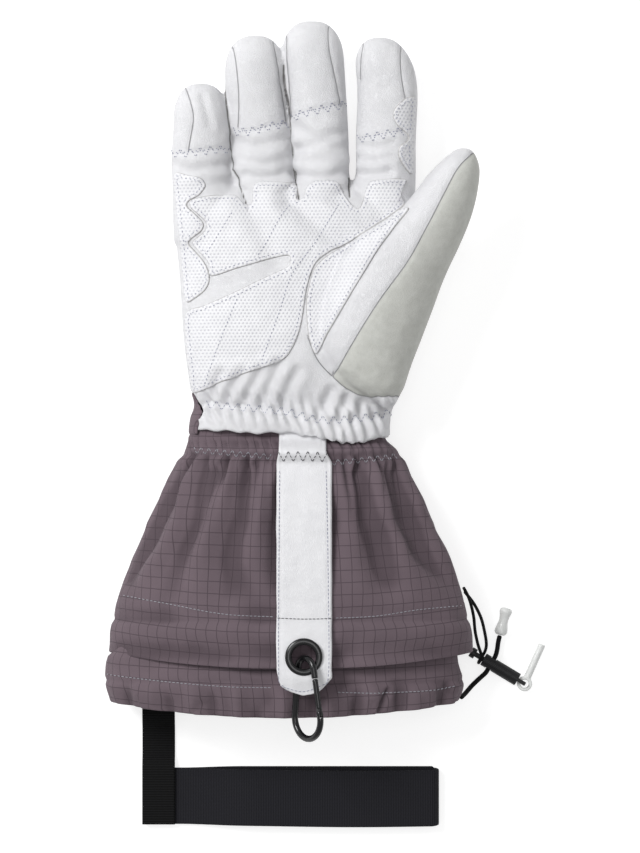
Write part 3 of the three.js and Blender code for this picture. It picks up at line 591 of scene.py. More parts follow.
def paint(piece, material, body="root", replaced=()):
    """Gives a piece its material and slot, hides the nodes that it stands for, and sets the body that it rides on."""
    piece.data.materials.clear()
    piece.data.materials.append(material)
    if replaced:
        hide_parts(*replaced)
    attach(piece, body)
    return piece


# Cords: their routes are those of the CAD model
DRAWCORD_DIAMETER = 2.4
TETHER_DIAMETER = 1.6
DRAWCORD_ROUTE = [
    (85.3, -136.4, 13.0),
    (87.6, -134.6, 8.4),
    (91.0, -131.0, 4.6),
    (94.6, -127.6, 3.5),
    (98.0, -124.5, 3.3),
    (99.5, -122.0, 3.3),
    (100.8, -119.9, 3.3),
    (102.1, -117.7, 3.3),
    (103.2, -115.4, 3.3),
    (103.9, -112.6, 3.2),
    (104.4, -109.0, 3.2),
    (105.2, -105.6, 3.2),
]
TETHER_ROUTE = [
    (86.2, -80.6, 24.4),
    (89.2, -86.6, 22.8),
    (91.4, -95.0, 19.6),
    (92.4, -103.0, 14.0),
    (94.0, -110.0, 9.4),
    (95.6, -114.6, 7.7),
    (96.2, -116.6, 7.3),
    (94.9, -118.6, 6.4),
    (94.5, -119.4, 4.1),
    (94.8, -118.7, 1.5),
    (96.2, -116.6, 0.85),
    (97.9, -113.4, 1.2),
    (98.4, -109.6, 3.4),
    (97.2, -103.0, 9.0),
    (95.2, -96.0, 15.4),
    (91.6, -89.0, 18.6),
    (86.8, -82.8, 21.8),
]


def swept(name, line, radius, sides=20, ends=0.35):
    """A round tube along a line, with slightly rounded ends and a weave map around and along it."""
    ways = np.gradient(line, axis=0)
    ways /= np.linalg.norm(ways, axis=1)[:, None]
    side = np.cross(ways[0], (0, 0, 1.0))
    if np.linalg.norm(side) < 0.1:
        side = np.cross(ways[0], (1.0, 0, 0))
    run = np.concatenate([[0], np.cumsum(np.linalg.norm(np.diff(line, axis=0), axis=1))])
    turns = np.linspace(0, 2 * math.pi, sides + 1)
    rings, weave = [], []
    for i, way in enumerate(ways):
        side = side - way * (side @ way)
        side /= np.linalg.norm(side)
        up = np.cross(side, way)
        near_end = min(run[i], run[-1] - run[i])
        scale = radius * (1 - ends * (1 - min(1.0, near_end / (0.5 * radius))) ** 2)
        rings.append([line[i] + scale * (math.cos(t) * side + math.sin(t) * up) for t in turns[:-1]])
        weave.append([(t * radius, run[i]) for t in turns])
    return outward(grid_piece(name, np.array(rings), closed=True, weave=np.array(weave), caps=True))


cord_finish = braided_cord()
drawcord_line = smoothed_line(DRAWCORD_ROUTE, 0.6)
tether_line = smoothed_line(TETHER_ROUTE, 0.5)
drawcord = paint(
    smooth(swept("drawcord_braid", drawcord_line, DRAWCORD_DIAMETER / 2)), cord_finish, "root", ["drawcord"]
)
tether = paint(
    smooth(swept("lock_tether_braid", tether_line, TETHER_DIAMETER / 2)), cord_finish, "root", ["lock_tether"]
)

# The hand's tables. Columns: share of the length, left and right of half the width, low and high of the height
PALM_ROWS = [
    (0.0, -0.87, 0.79, -0.14, 0.91),
    (0.07, -0.86, 0.79, -0.14, 0.9),
    (0.13, -0.82, 0.82, -0.14, 0.86),
    (0.19, -0.85, 0.87, -0.14, 0.92),
    (0.26, -0.87, 0.89, -0.14, 0.97),
    (0.38, -0.9, 0.91, -0.14, 1.0),
    (0.52, -0.92, 0.93, -0.14, 0.98),
    (0.68, -0.94, 0.96, -0.14, 0.94),
    (0.84, -0.97, 0.99, -0.14, 0.9),
    (0.96, -0.985, 1.0, -0.01, 0.85),
    (1.08, -0.99, 1.0, 0.05, 0.78),
]
PALM_X, WRIST_Y, PALM_WIDTH, PALM_LENGTH, PALM_HEIGHT = 1.5, -5.0, 122.0, 118.0, 48.0
KNUCKLE_ROUND = 18.0

# Fingers. Columns: share of the length, side and width as shares of the width, low and high of the thickness
FINGER_BASE_Y = 93.0
FINGER_THICKNESS = 30.0
FINGER_TIP_ROUND = 17.0
FINGERS = {
    "pinky": (-45.0, 30.0, 78.0, [
        (0.0, 0.1, 1.12, 0.18, 1.24),
        (0.24, 0.09, 1.13, 0.2, 1.22),
        (0.36, 0.02, 1.0, 0.28, 1.2),
        (0.5, 0.0, 1.0, 0.33, 1.24),
        (0.72, 0.01, 0.94, 0.42, 1.32),
        (1.0, 0.0, 0.92, 0.54, 1.36),
    ]),
    "ring": (-17.0, 30.0, 102.0, [
        (0.0, 0.26, 0.82, 0.18, 1.25),
        (0.22, 0.18, 0.94, 0.2, 1.24),
        (0.31, 0.09, 1.02, 0.26, 1.2),
        (0.46, 0.08, 0.97, 0.3, 1.24),
        (0.72, -0.03, 0.99, 0.4, 1.3),
        (1.0, -0.03, 0.99, 0.52, 1.36),
    ]),
    "middle": (13.0, 31.0, 109.3, [
        (0.0, 0.15, 0.78, 0.18, 1.25),
        (0.2, 0.14, 0.81, 0.2, 1.24),
        (0.3, 0.08, 0.88, 0.26, 1.2),
        (0.46, 0.05, 0.92, 0.3, 1.24),
        (0.72, -0.03, 0.98, 0.4, 1.3),
        (1.0, -0.09, 0.98, 0.52, 1.36),
    ]),
    "index": (47.5, 31.0, 101.0, [
        (0.0, 0.0, 1.03, 0.18, 1.24),
        (0.22, -0.04, 1.04, 0.2, 1.22),
        (0.34, 0.0, 0.97, 0.26, 1.2),
        (0.5, 0.0, 0.97, 0.3, 1.24),
        (0.76, 0.02, 0.97, 0.4, 1.3),
        (1.0, -0.1, 0.9, 0.52, 1.36),
    ]),
}
THUMB_X, THUMB_Y, THUMB_WIDTH, THUMB_LENGTH, THUMB_HEIGHT = 53.0, 11.0, 82.0, 127.0, 64.0
THUMB_TIP_ROUND = 13.0
THUMB_ROWS = [
    (0.0, -0.22, -0.02, 0.44, 0.68),
    (0.06, -0.56, 0.08, 0.34, 0.8),
    (0.14, -0.85, 0.16, 0.28, 0.87),
    (0.25, -0.96, 0.29, 0.25, 0.93),
    (0.37, -0.9, 0.43, 0.25, 0.98),
    (0.5, -0.76, 0.58, 0.28, 1.0),
    (0.64, -0.51, 0.78, 0.33, 1.0),
    (0.76, 0.02, 0.92, 0.38, 0.98),
    (0.88, 0.33, 0.99, 0.43, 0.94),
    (1.0, 0.6, 1.0, 0.48, 0.88),
]


def row_at(rows, share):
    """A table's columns at a share of the length, on a smooth curve through its rows."""
    i = 0
    while i < len(rows) - 2 and share > rows[i + 1][0]:
        i += 1
    a, b, c, d = (np.array(rows[min(max(k, 0), len(rows) - 1)][1:]) for k in (i - 1, i, i + 1, i + 2))
    t = min(max((share - rows[i][0]) / (rows[i + 1][0] - rows[i][0]), 0), 1)
    return b + 0.5 * t * (c - a + t * (2 * a - 5 * b + 4 * c - d + t * (3 * (b - c) + d - a)))


def section(left, right, low, high, y, points, power, floor=0.0, bow=0.0, start=0.0):
    """A cross-section in a plane of constant Y, flat where it would go below the floor."""
    turn = start + np.linspace(0, 2 * math.pi, points, endpoint=False)
    cx, cz, a, b = (left + right) / 2, (low + high) / 2, (right - left) / 2, (high - low) / 2
    c, s = np.cos(turn), np.sin(turn)
    x = cx + a * np.sign(c) * np.abs(c) ** (2 / power)
    z = cz + b * np.sign(s) * np.abs(s) ** (2 / power)
    return np.stack([x, y - bow * (1 - ((x - cx) / a) ** 2), np.maximum(z, floor)], 1)


def form_box(form, along, grow=0.0):
    """The left, right, low and high of a form at a distance along it."""
    share = min(max(along / form["length"], form["rows"][0][0]), form["rows"][-1][0])
    left, right, low, high = row_at(form["rows"], share)[:4]
    x, half, tall = form["x"], form["half"], form["height"]
    return x + left * half - grow, x + right * half + grow, low * tall - grow, high * tall + grow


# How a finger's form narrows inside the palm: distances back from its base, and how far its surface moves in
FINGER_ROOT = [(7.0, -4.0), (4.5, -2.4), (2.0, -0.9)]
THUMB_ROOT = [(2.4, -2.6), (1.2, -1.0)]


def loft(name, form, grow=0.0, open_by=0.0, points=96, step=3.0, root=()):
    """A closed body lofted along Y, rounded at its far end. grow moves its surface out or in."""
    straight = form["length"] - form["tip"]
    rings = [
        section(*form_box(form, 0, inset), form["y"] - back_by, points, form["power"], 0.0) for back_by, inset in root
    ]
    if open_by:
        rings.append(section(*form_box(form, 0, 2.2 * grow), form["y"] - open_by, points, form["power"], -grow))
    closed_start = 0.0 if open_by or grow >= 0 else -1.5 * grow
    for along in np.linspace(closed_start, straight, int(straight / step)):
        rings.append(section(*form_box(form, along, grow), form["y"] + along, points, form["power"], -grow))
    for turn in np.linspace(0, math.pi / 2, 10)[1:-1]:
        along = straight + form["tip"] * math.sin(turn)
        left, right, low, high = form_box(form, along, grow)
        scale = math.cos(turn) ** 0.8
        cx, cz, a, b = (left + right) / 2, (low + high) / 2, (right - left) / 2, (high - low) / 2
        y = form["y"] + along + grow * math.sin(turn)
        rings.append(section(cx - a * scale, cx + a * scale, cz - b * scale, cz + b * scale, y, points, form["power"], -grow))
    return outward(grid_piece(name, np.array(rings), closed=True, caps=True))


palm_form = {
    "rows": [(row[0] / PALM_ROWS[-1][0], *row[1:]) for row in PALM_ROWS],
    "x": PALM_X,
    "y": WRIST_Y,
    "half": PALM_WIDTH / 2,
    "length": PALM_LENGTH * PALM_ROWS[-1][0],
    "height": PALM_HEIGHT,
    "tip": KNUCKLE_ROUND,
    "power": 2.5,
}
thumb_form = {
    "rows": THUMB_ROWS,
    "x": THUMB_X,
    "y": THUMB_Y,
    "half": THUMB_WIDTH / 2,
    "length": THUMB_LENGTH,
    "height": THUMB_HEIGHT,
    "tip": THUMB_TIP_ROUND,
    "power": 2.2,
}
finger_forms = {
    name: {
        "rows": [(at, side - wide / 2, side + wide / 2, low, high) for at, side, wide, low, high in rows],
        "x": x,
        "y": FINGER_BASE_Y,
        "half": width,
        "length": length,
        "height": FINGER_THICKNESS,
        "tip": FINGER_TIP_ROUND,
        "power": 2.2,
    }
    for name, (x, width, length, rows) in FINGERS.items()
}

# Where the fabric back begins: below the side seam, and over the corner at the wrist's left
SIDE_SEAM_Z = 13.0
CUFF_CORNER_TOP = 38.4
CUFF_CORNER = [(-70, 27), (-53.5, 23.3), (-48.2, 15.6), (-43.9, 8), (-46.7, -5), (-46.7, -11), (-70, -11)]


def upright_prism(name, outline, low, high):
    """A vertical prism over an outline."""
    count = len(outline)
    points = [(x, y, z) for z in (low, high) for x, y in outline]
    faces = [tuple(range(count))[::-1], tuple(range(count, 2 * count))]
    faces += [(i, (i + 1) % count, count + (i + 1) % count, count + i) for i in range(count)]
    return outward(mesh_piece(name, points, faces))


def hand_shell():
    """The hollow hand: palm, fingers and thumb in one."""
    forms = [palm_form, *finger_forms.values(), thumb_form]
    shell = loft("hand", forms[0])
    for form in forms[1:]:
        root = THUMB_ROOT if form is thumb_form else FINGER_ROOT
        boolean(shell, loft("outer", form, points=48, step=4.0, root=root), "UNION")
    for form in forms:
        open_by = 0.0 if form is thumb_form else 6.0
        hollow = loft("hollow", form, grow=-LEATHER_WALL, open_by=open_by, points=40, step=8.0)
        boolean(shell, hollow, "DIFFERENCE")
    return shell


def copied(piece, name):
    made = piece.copy()
    made.data = piece.data.copy()
    made.name = name
    made.data.name = name
    bpy.context.collection.objects.link(made)
    return made


def remeshed(piece, voxel, smoothing):
    """Even small faces over a piece, with its edges softened."""
    modified(piece, "REMESH", mode="VOXEL", voxel_size=voxel * MM)
    return modified(piece, "SMOOTH", factor=0.5, iterations=smoothing)


HAND_VOXEL = 1.1
shell = hand_shell()
region = upright_prism("back_region", [(-80, -20), (90, -20), (90, 160), (-80, 160)], -5, SIDE_SEAM_Z)
boolean(region, upright_prism("cuff_corner", CUFF_CORNER, -5, CUFF_CORNER_TOP), "UNION")
back = copied(shell, "back_of_hand_cloth")
leather = shell
leather.name = "hand_leather"
boolean(leather, region, "DIFFERENCE", keep=True)
boolean(back, region, "INTERSECT")
remeshed(leather, HAND_VOXEL, 5)
remeshed(back, HAND_VOXEL * 1.15, 4)

# Seams of the hand, as lines of the photograph
SEAMS = {
    "pinky_side": seen((185.5, 88), (191, 104), (194, 120), (191, 140), (189, 152)),
    "pinky_cap": seen((171, 153), (185, 153.5), (200, 152), (216, 150), (231, 149)),
    "ring_left": seen((231, 44), (236, 66), (238.5, 95), (238, 128)),
    "ring_right": seen((273.5, 42), (279, 70), (284, 100), (286, 122)),
    "ring_cap": seen((233, 131), (250, 132), (268, 127), (288, 123.5)),
    "middle_left": seen((286, 30), (286.5, 60), (288, 90), (291, 116)),
    "middle_right": seen((329, 28), (329.5, 47), (335, 76), (341, 105)),
    "middle_cap": seen((291, 118), (306, 113), (325, 109), (348, 103.5)),
    "index_left": seen((363, 44), (360, 62), (359.5, 81)),
    "index_right": seen((401, 44), (400.5, 62), (402, 82), (405, 100)),
    "index_cap": seen((357, 138.5), (372, 137), (388, 134), (403, 131.5)),
    "thumb_main": seen((471, 156), (456, 172), (444, 194), (426, 229), (406, 265), (379, 302), (356, 338), (333, 377)),
    "thumb_second": seen((412, 208), (395, 230), (379, 251), (361, 280), (344, 310), (330, 334), (317, 356)),
    "thumb_base": seen((308, 338), (318, 361), (333, 377.5), (349, 390), (369, 397), (395, 397), (430, 394), (480, 386)),
}

# Where neighbouring fingers press together
FINGER_GAPS = [
    seen((223, 72), (225, 90), (228, 118), (231, 150), (238, 180), (248.7, 209)),
    seen((283.5, 66), (285, 88), (290, 117), (292.5, 150), (295, 178), (299.4, 200)),
    seen((349, 178), (349.7, 197)),
]
GAP_DEPTH, GAP_WIDTH, GAP_PRESS_Y = 1.1, 0.9, 128.0

# Creases pressed into the leather: a line, its depth and its half width
CREASES = [
    (seen((247, 176), (262, 178.5), (277, 177), (288, 172)), 1.1, 2.6),
    (seen((245, 160), (262, 166), (284, 162)), 0.6, 2.2),
    (seen((298, 176), (312, 179), (330, 178), (346, 172)), 1.1, 2.6),
    (seen((296, 150), (314, 147), (336, 149), (347, 146)), 0.7, 2.4),
    (seen((358, 174), (372, 176), (388, 173)), 1.0, 2.6),
    (seen((358, 158), (374, 162), (390, 158)), 0.6, 2.2),
    (seen((206, 182), (220, 184), (236, 180)), 0.7, 2.4),
    (seen((298, 128), (318, 140), (345, 133)), 0.7, 2.8),
    (seen((236, 140), (252, 148), (284, 140)), 0.6, 2.6),
    (seen((174, 166), (196, 172), (230, 164)), 0.6, 2.6),
    (seen((359, 146), (376, 150), (392, 146)), 0.6, 2.4),
    (seen((290, 203), (306, 216), (326, 234), (345, 244)), 1.6, 5.0),
    (seen((248, 208), (262, 232), (276, 262)), 0.9, 5.0),
    (seen((203, 98), (207, 112), (211, 127)), 0.5, 1.8),
    (seen((222, 374), (215, 388), (212, 404)), 0.9, 2.4),
    (seen((243, 373), (233, 388), (226, 405)), 0.9, 2.6),
    (seen((262, 372), (252, 388), (243, 407)), 1.0, 2.6),
    (seen((279, 366), (268, 388), (262, 408)), 1.0, 2.8),
    (seen((297, 372), (288, 392), (281, 410)), 0.8, 2.6),
    (seen((331, 392), (326, 404), (318, 418)), 1.0, 2.6),
    (seen((345, 398), (342, 410), (338, 420)), 0.9, 2.2),
    (seen((362, 402), (358, 412), (352, 419)), 0.8, 2.2),
]
ELASTIC_LINE = smoothed_line(seen((206, 404.5), (245, 408), (287, 412), (320, 420), (362, 418), (392, 412)), 1.0)
LEATHER_EDGE = smoothed_line(seen((196, 430), (250, 433), (287, 433), (320, 437.5), (348, 443), (392, 437)), 1.0)
GATHER_PERIOD = 5.3


def press_hand(piece):
    """Presses folds, creases and seams into the leather, and stores the distances that its material needs."""
    points, normals = coordinates(piece)
    top = eased((normals[:, 2] - 0.05) / 0.4) * (points[:, 2] > 17)
    shift = np.zeros(len(points))
    for line, depth, width in CREASES:
        distance = signed_distance(points, smoothed_line(line, 2.0))
        shift -= 1.35 * depth * np.exp(-((distance / width) ** 2))
        shift += 0.6 * depth * np.exp(-(((np.abs(distance) - 1.9 * width) / width) ** 2))
    shift += 0.6 * ruffle(points, 16.0) + 0.34 * ruffle(points, 6.5, 7.0)

    # gap holds each point's distance from the finger gaps, for the painted shade between the fingers.
    gap = np.full(len(points), 9.0)
    for line in FINGER_GAPS:
        distance = np.abs(signed_distance(points, smoothed_line(line, 1.5)))
        shift -= GAP_DEPTH * np.exp(-((distance / GAP_WIDTH) ** 2)) * (points[:, 1] < GAP_PRESS_Y)
        gap = np.minimum(gap, distance)

    elastic = signed_distance(points, ELASTIC_LINE)
    wander = 0.9 * ruffle(points, 9.0, 3.0)
    wave = np.cos(2 * math.pi * (points[:, 0] + 0.35 * (points[:, 1] - 8) + wander) / GATHER_PERIOD)
    gathered = bump_at(elastic, 4.0, 5.0) + bump_at(elastic, -5.0, 4.5)
    uneven = 0.75 + 0.5 * ruffle(points, 20.0, 17.0)
    shift += 1.25 * uneven * wave * np.minimum(gathered, 1.0)
    shift -= 1.3 * bump_at(elastic, 0.0, 1.7)
    shift += 0.9 * bump_at(elastic, -7.0, 4.0)

    seam = np.full(len(points), 9.0)
    for name, line in SEAMS.items():
        distance = signed_distance(points, smoothed_line(line, 1.5))
        shift -= 0.55 * np.exp(-((distance / 1.1) ** 2)) * (np.abs(distance) < 4)
        if not name.endswith(("_cap", "_second")):
            seam = np.where(np.abs(distance) < np.abs(seam), distance, seam)
    front = (normals[:, 2] > -0.15) & (points[:, 2] > 17)
    near = np.where(front, np.abs(seam), 9.0)
    gap = np.where(front, gap, 9.0)

    main = signed_distance(points, smoothed_line(SEAMS["thumb_main"], 1.5))
    base = signed_distance(points, smoothed_line(SEAMS["thumb_base"], 1.5))
    on_thumb = (points[:, 2] > 17) & (points[:, 0] > 15) & (points[:, 1] > 10)
    suede = np.where(on_thumb, np.minimum(main, base), -5.0)
    edge_y = np.interp(points[:, 0], LEATHER_EDGE[:, 0], LEATHER_EDGE[:, 1])
    wavy = 0.4 * np.cos(2 * math.pi * (points[:, 0] + wander) / (2 * GATHER_PERIOD)) + 0.7 * ruffle(points, 13.0, 23.0)
    drop = np.clip(edge_y + wavy - WRIST_Y, -3.2, 3.0) * eased((6.0 - points[:, 1]) / 11.0) * (points[:, 2] > 24)
    points = points + normals * (shift * top)[:, None]
    points[:, 1] += drop
    points[:, 2] = np.maximum(points[:, 2], 0.02)
    set_points(piece, points)
    set_attribute(piece, "seam", np.clip(seam, -4, 4))
    set_attribute(piece, "seam_near", np.clip(near, 0, 4))
    set_attribute(piece, "gap", np.clip(gap, 0, 4))
    set_attribute(piece, "suede", np.clip(suede, -5, 5))
    return piece


press_hand(leather)
smooth(leather, 60)
paint(
    leather,
    hand_leather(),
    "root",
    ["palm_leather", "finger_pinky", "finger_ring", "finger_middle", "finger_index", "thumb"],
)


def dress_back(piece):
    """The back's cloth: soft folds, and a weave map that runs across and along it."""
    points, normals = coordinates(piece)
    shift = 0.5 * ruffle(points, 14.0, 21.0) + 0.25 * ruffle(points, 6.0, 5.0)
    loose = eased((points[:, 2] - 2.0) / 6.0)
    points = points + normals * (shift * loose)[:, None]
    points[:, 2] = np.maximum(points[:, 2], 0.02)
    set_points(piece, points)
    layer = piece.data.uv_layers.new(name="Weave")
    index = np.zeros(len(piece.data.loops), int)
    piece.data.loops.foreach_get("vertex_index", index)
    across = points[:, 0] + np.sign(points[:, 0] - PALM_X) * points[:, 2]
    layer.data.foreach_set("uv", np.stack([across, points[:, 1]], 1)[index].astype(np.float32).ravel())
    return piece


ripstop_finish = ripstop("ripstop")
paint(smooth(dress_back(back), 60), ripstop_finish, "root", ["back_of_hand"])
hand_top = surface_of(leather)


def height_on(tree, x, y, fallback=20.0):
    """The height and normal of a surface seen from above, in millimetres."""
    hit = tree.ray_cast(Vector((x * MM, y * MM, 0.3)), Vector((0, 0, -1)))
    if hit[0] is None:
        hit = tree.find_nearest(Vector((x * MM, y * MM, fallback * MM)))
    return np.array(hit[0]) / MM, np.array(hit[1])


# Raised patches, as outlines of the photograph
PATCHES = {
    "palm_grip": (["palm_patch"], [
        (186.5, 314), (187, 345), (190, 372), (194, 392.5), (222, 382.5), (254, 371), (282, 361), (292, 350),
        (299, 334), (303, 317), (307, 290), (315.5, 265), (330, 253), (341, 248), (362, 236), (384, 222), (404, 207),
        (401, 196), (406, 182), (403, 179.5), (388, 180), (371, 182.5), (366, 190), (360, 208), (354, 208), (345, 197),
        (338, 184), (328, 181.5), (316, 182), (307, 188), (303, 199), (297, 200), (298, 190), (292, 184), (276, 183),
        (258, 183.5), (253, 190), (252, 204), (245, 205), (238, 198), (233, 196), (210, 196.5), (192, 201),
        (191, 208), (198, 215), (206.5, 224), (204, 233), (193, 243), (200, 253), (209, 264), (212, 277),
        (240, 269), (285, 257), (290, 263), (286, 269), (262, 280), (233, 294), (205, 306),
    ]),
    "pinky_edge": (["pinky_edge_patch"], [
        (174.5, 175), (188, 176), (201, 179), (206, 187), (200, 196), (190, 202), (188, 207), (195, 214),
        (204, 224), (202, 232), (192, 240), (190, 245), (198, 254), (207, 266), (210.6, 280), (206, 291), (196, 299),
        (186.5, 302), (183.5, 280), (180.5, 245), (176.5, 205),
    ]),
    "index_edge": (["index_edge_patch"], [
        (415, 98.5), (403, 101), (392.5, 114), (396, 126), (406, 135), (407, 141), (399, 148), (398, 158), (405, 170),
        (412.5, 173), (413, 140), (415, 115),
    ]),
    "thumb_grip": (["thumb_patch"], [
        (340, 249.5), (330, 255), (322, 261), (315, 269), (311, 279), (306.5, 301), (307, 322), (309, 338),
        (316, 354.5), (329, 333), (343, 309), (360, 280.5), (378, 251.5), (394, 230), (408, 212), (399, 212.5),
        (384, 223), (362, 236.5),
    ]),
}


def raised(name, outline, tree, thickness, spacing=1.0):
    """A thin layer that follows a surface inside an outline, with its edge rounded down."""
    edge = smoothed_line(seen(*outline), 0.7, closed=True)[:-1]
    low, high = edge.min(0), edge.max(0)
    xs, ys = np.arange(low[0], high[0], spacing), np.arange(low[1], high[1], spacing)
    grid = np.array([(x + 0.5 * spacing * (j % 2), y) for j, y in enumerate(ys) for x in xs])
    grid = grid[inside(grid, edge)]
    loop = np.vstack([edge, edge[:1]])
    grid = grid[np.abs(signed_distance(grid, loop)) > 1.6]
    rings = []
    for inset in (0.25, 0.6, 1.1):
        way = np.roll(edge, -1, 0) - np.roll(edge, 1, 0)
        normal = np.stack([-way[:, 1], way[:, 0]], 1) / np.maximum(np.linalg.norm(way, axis=1), 1e-9)[:, None]
        area = 0.5 * np.sum(edge[:, 0] * np.roll(edge[:, 1], -1) - np.roll(edge[:, 0], -1) * edge[:, 1])
        ring = edge + normal * inset * (1 if area > 0 else -1)
        ring = ring[inside(ring, edge)]
        rings.append(ring[np.abs(signed_distance(ring, loop)) > 0.85 * inset])
    flat = np.vstack([edge, *rings, grid])
    count = len(edge)
    borders = [(i, (i + 1) % count) for i in range(count)]
    points2, _, triangles, *_ = geometry.delaunay_2d_cdt([Vector(p) for p in flat], borders, [], 1, 1e-4)
    plane = np.array([tuple(p) for p in points2])
    distance = np.abs(signed_distance(plane, loop))
    lift = thickness * np.sqrt(1 - (1 - np.clip(distance / 0.9, 0, 1)) ** 2)
    tops, bottoms = [], []
    for (x, y), rise in zip(plane, lift):
        hit, normal = height_on(tree, x, y)
        tops.append(hit + normal * (rise + 0.05))
        bottoms.append(hit - normal * 0.35)
    total = len(plane)
    triangles = [t for t in triangles if len(t) == 3]
    faces = [tuple(t) for t in triangles] + [tuple(total + i for i in t[::-1]) for t in triangles]
    rim = {}
    for t in triangles:
        for a, b in zip(t, t[1:] + t[:1]):
            rim[(a, b)] = rim.get((a, b), 0) + 1
    faces += [(b, a, total + a, total + b) for a, b in rim if (b, a) not in rim]
    piece = mesh_piece(name, tops + bottoms, faces)
    # edge: distance from the outline, for the line of edge tone and painted shade along the patch's edge.
    set_attribute(piece, "edge", np.concatenate([distance, 0 * distance]))
    return outward(piece)


grip_finish = grip_leather()
patches = []
for patch_name, (nodes, outline) in PATCHES.items():
    patch = raised(patch_name, outline, hand_top, PATCH_THICKNESS)
    patches.append(paint(smooth(patch, 50), grip_finish, "root", nodes))
patched_top = surface_of(leather, *patches)

# The gauntlet. Columns as the palm's
TIER_LENGTH, TIER_WIDTH, TIER_HEIGHT, TIER_BOW = 108.0, 183.0, 54.0, 7.0
TIER_ROWS = [
    (-0.074, -0.515, 0.49, 0.07, 0.72),
    (0.012, -0.565, 0.52, 0.07, 0.72),
    (0.065, -0.58, 0.58, -0.2, 0.87),
    (0.12, -0.62, 0.62, -0.2, 0.83),
    (0.2, -0.67, 0.67, -0.2, 0.9),
    (0.3, -0.73, 0.73, -0.2, 0.95),
    (0.4, -0.785, 0.78, -0.2, 0.98),
    (0.57, -0.87, 0.865, -0.2, 1.01),
    (0.76, -0.95, 0.945, -0.2, 1.03),
    (0.9, -0.985, 0.985, -0.2, 1.03),
    (1.0, -1.0, 1.0, -0.2, 1.0),
]
HEM_X, HEM_WIDTH, HEM_HEIGHT, HEM_LENGTH, HEM_TOP_Y = -3.0, 180.0, 50.0, 37.5, -101.0
HEM_ROWS = [
    (0.0, -0.935, 0.945, 0.06, 0.98),
    (0.31, -0.955, 0.95, 0.06, 0.97),
    (0.37, -0.985, 0.96, -0.05, 0.98),
    (0.5, -1.0, 0.97, -0.2, 1.0),
    (0.75, -1.0, 1.0, -0.2, 1.02),
    (1.0, -0.97, 0.97, -0.2, 0.97),
]
tier_form = {"rows": TIER_ROWS, "x": 0.0, "half": TIER_WIDTH / 2, "length": TIER_LENGTH, "height": TIER_HEIGHT}
hem_form = {"rows": HEM_ROWS, "x": HEM_X, "half": HEM_WIDTH / 2, "length": HEM_LENGTH, "height": HEM_HEIGHT}


# How far the gauntlet's grid opens out with its flare, from 0 to 1
WEAVE_FAN = 0.3


def even_ring(ring, columns):
    """A closed ring's points spread evenly, and their distance from the middle of its top."""
    loop = np.vstack([ring, ring[:1]])
    run = np.concatenate([[0], np.cumsum(np.linalg.norm(np.diff(loop, axis=0), axis=1))])
    at = np.linspace(0, run[-1], columns + 1)
    spread = np.stack([np.interp(at[:-1], run, loop[:, k]) for k in range(3)], 1)
    return spread, at - run[-1] / 2


def sleeve(name, form, top_y, stations, bow, columns, curl):
    """An open tube of cloth that goes down from a height of Y, with its lower edge turned in. Each ring starts
    under the middle, so that the weave map is measured from the middle of the top."""
    rings, weave = [], []
    for along in stations:
        box = form_box(form, along, -0.1)
        ring = section(*box, top_y - along, 4 * columns, 2.4, 0.02, bow * max(along, 0) / form["length"], -math.pi / 2)
        spread, run = even_ring(ring, columns)
        run = run * (1 + WEAVE_FAN * (form["half"] / max(0.5 * (box[1] - box[0]), 1.0) - 1))
        rings.append(spread)
        weave.append(np.stack([run, np.full(len(run), -along)], 1))
    for inset, back in curl:
        ring = rings[len(stations) - 1].copy()
        middle = np.array([form["x"], 0, form["height"] / 2])
        way = ring - middle
        way[:, 1] = 0
        ring -= way / np.linalg.norm(way, axis=1)[:, None] * inset
        ring[:, 1] += back
        ring[:, 2] = np.maximum(ring[:, 2], 0.02 + 0.4 * inset)
        rings.append(ring)
        weave.append(np.stack([weave[len(stations) - 1][:, 0], np.full(columns + 1, -stations[-1] - inset)], 1))
    return np.array(rings), np.array(weave)


COLUMNS = 320
ROW_STEP = 1.0


# The strap's middle, and how far to each side the cloth is kept down under it
STRAP_X, UNDER_STRAP = 6.7, 17.5
SIDE_PLEAT = seen((191, 456), (176, 484), (157, 521), (141, 553), (127, 581))


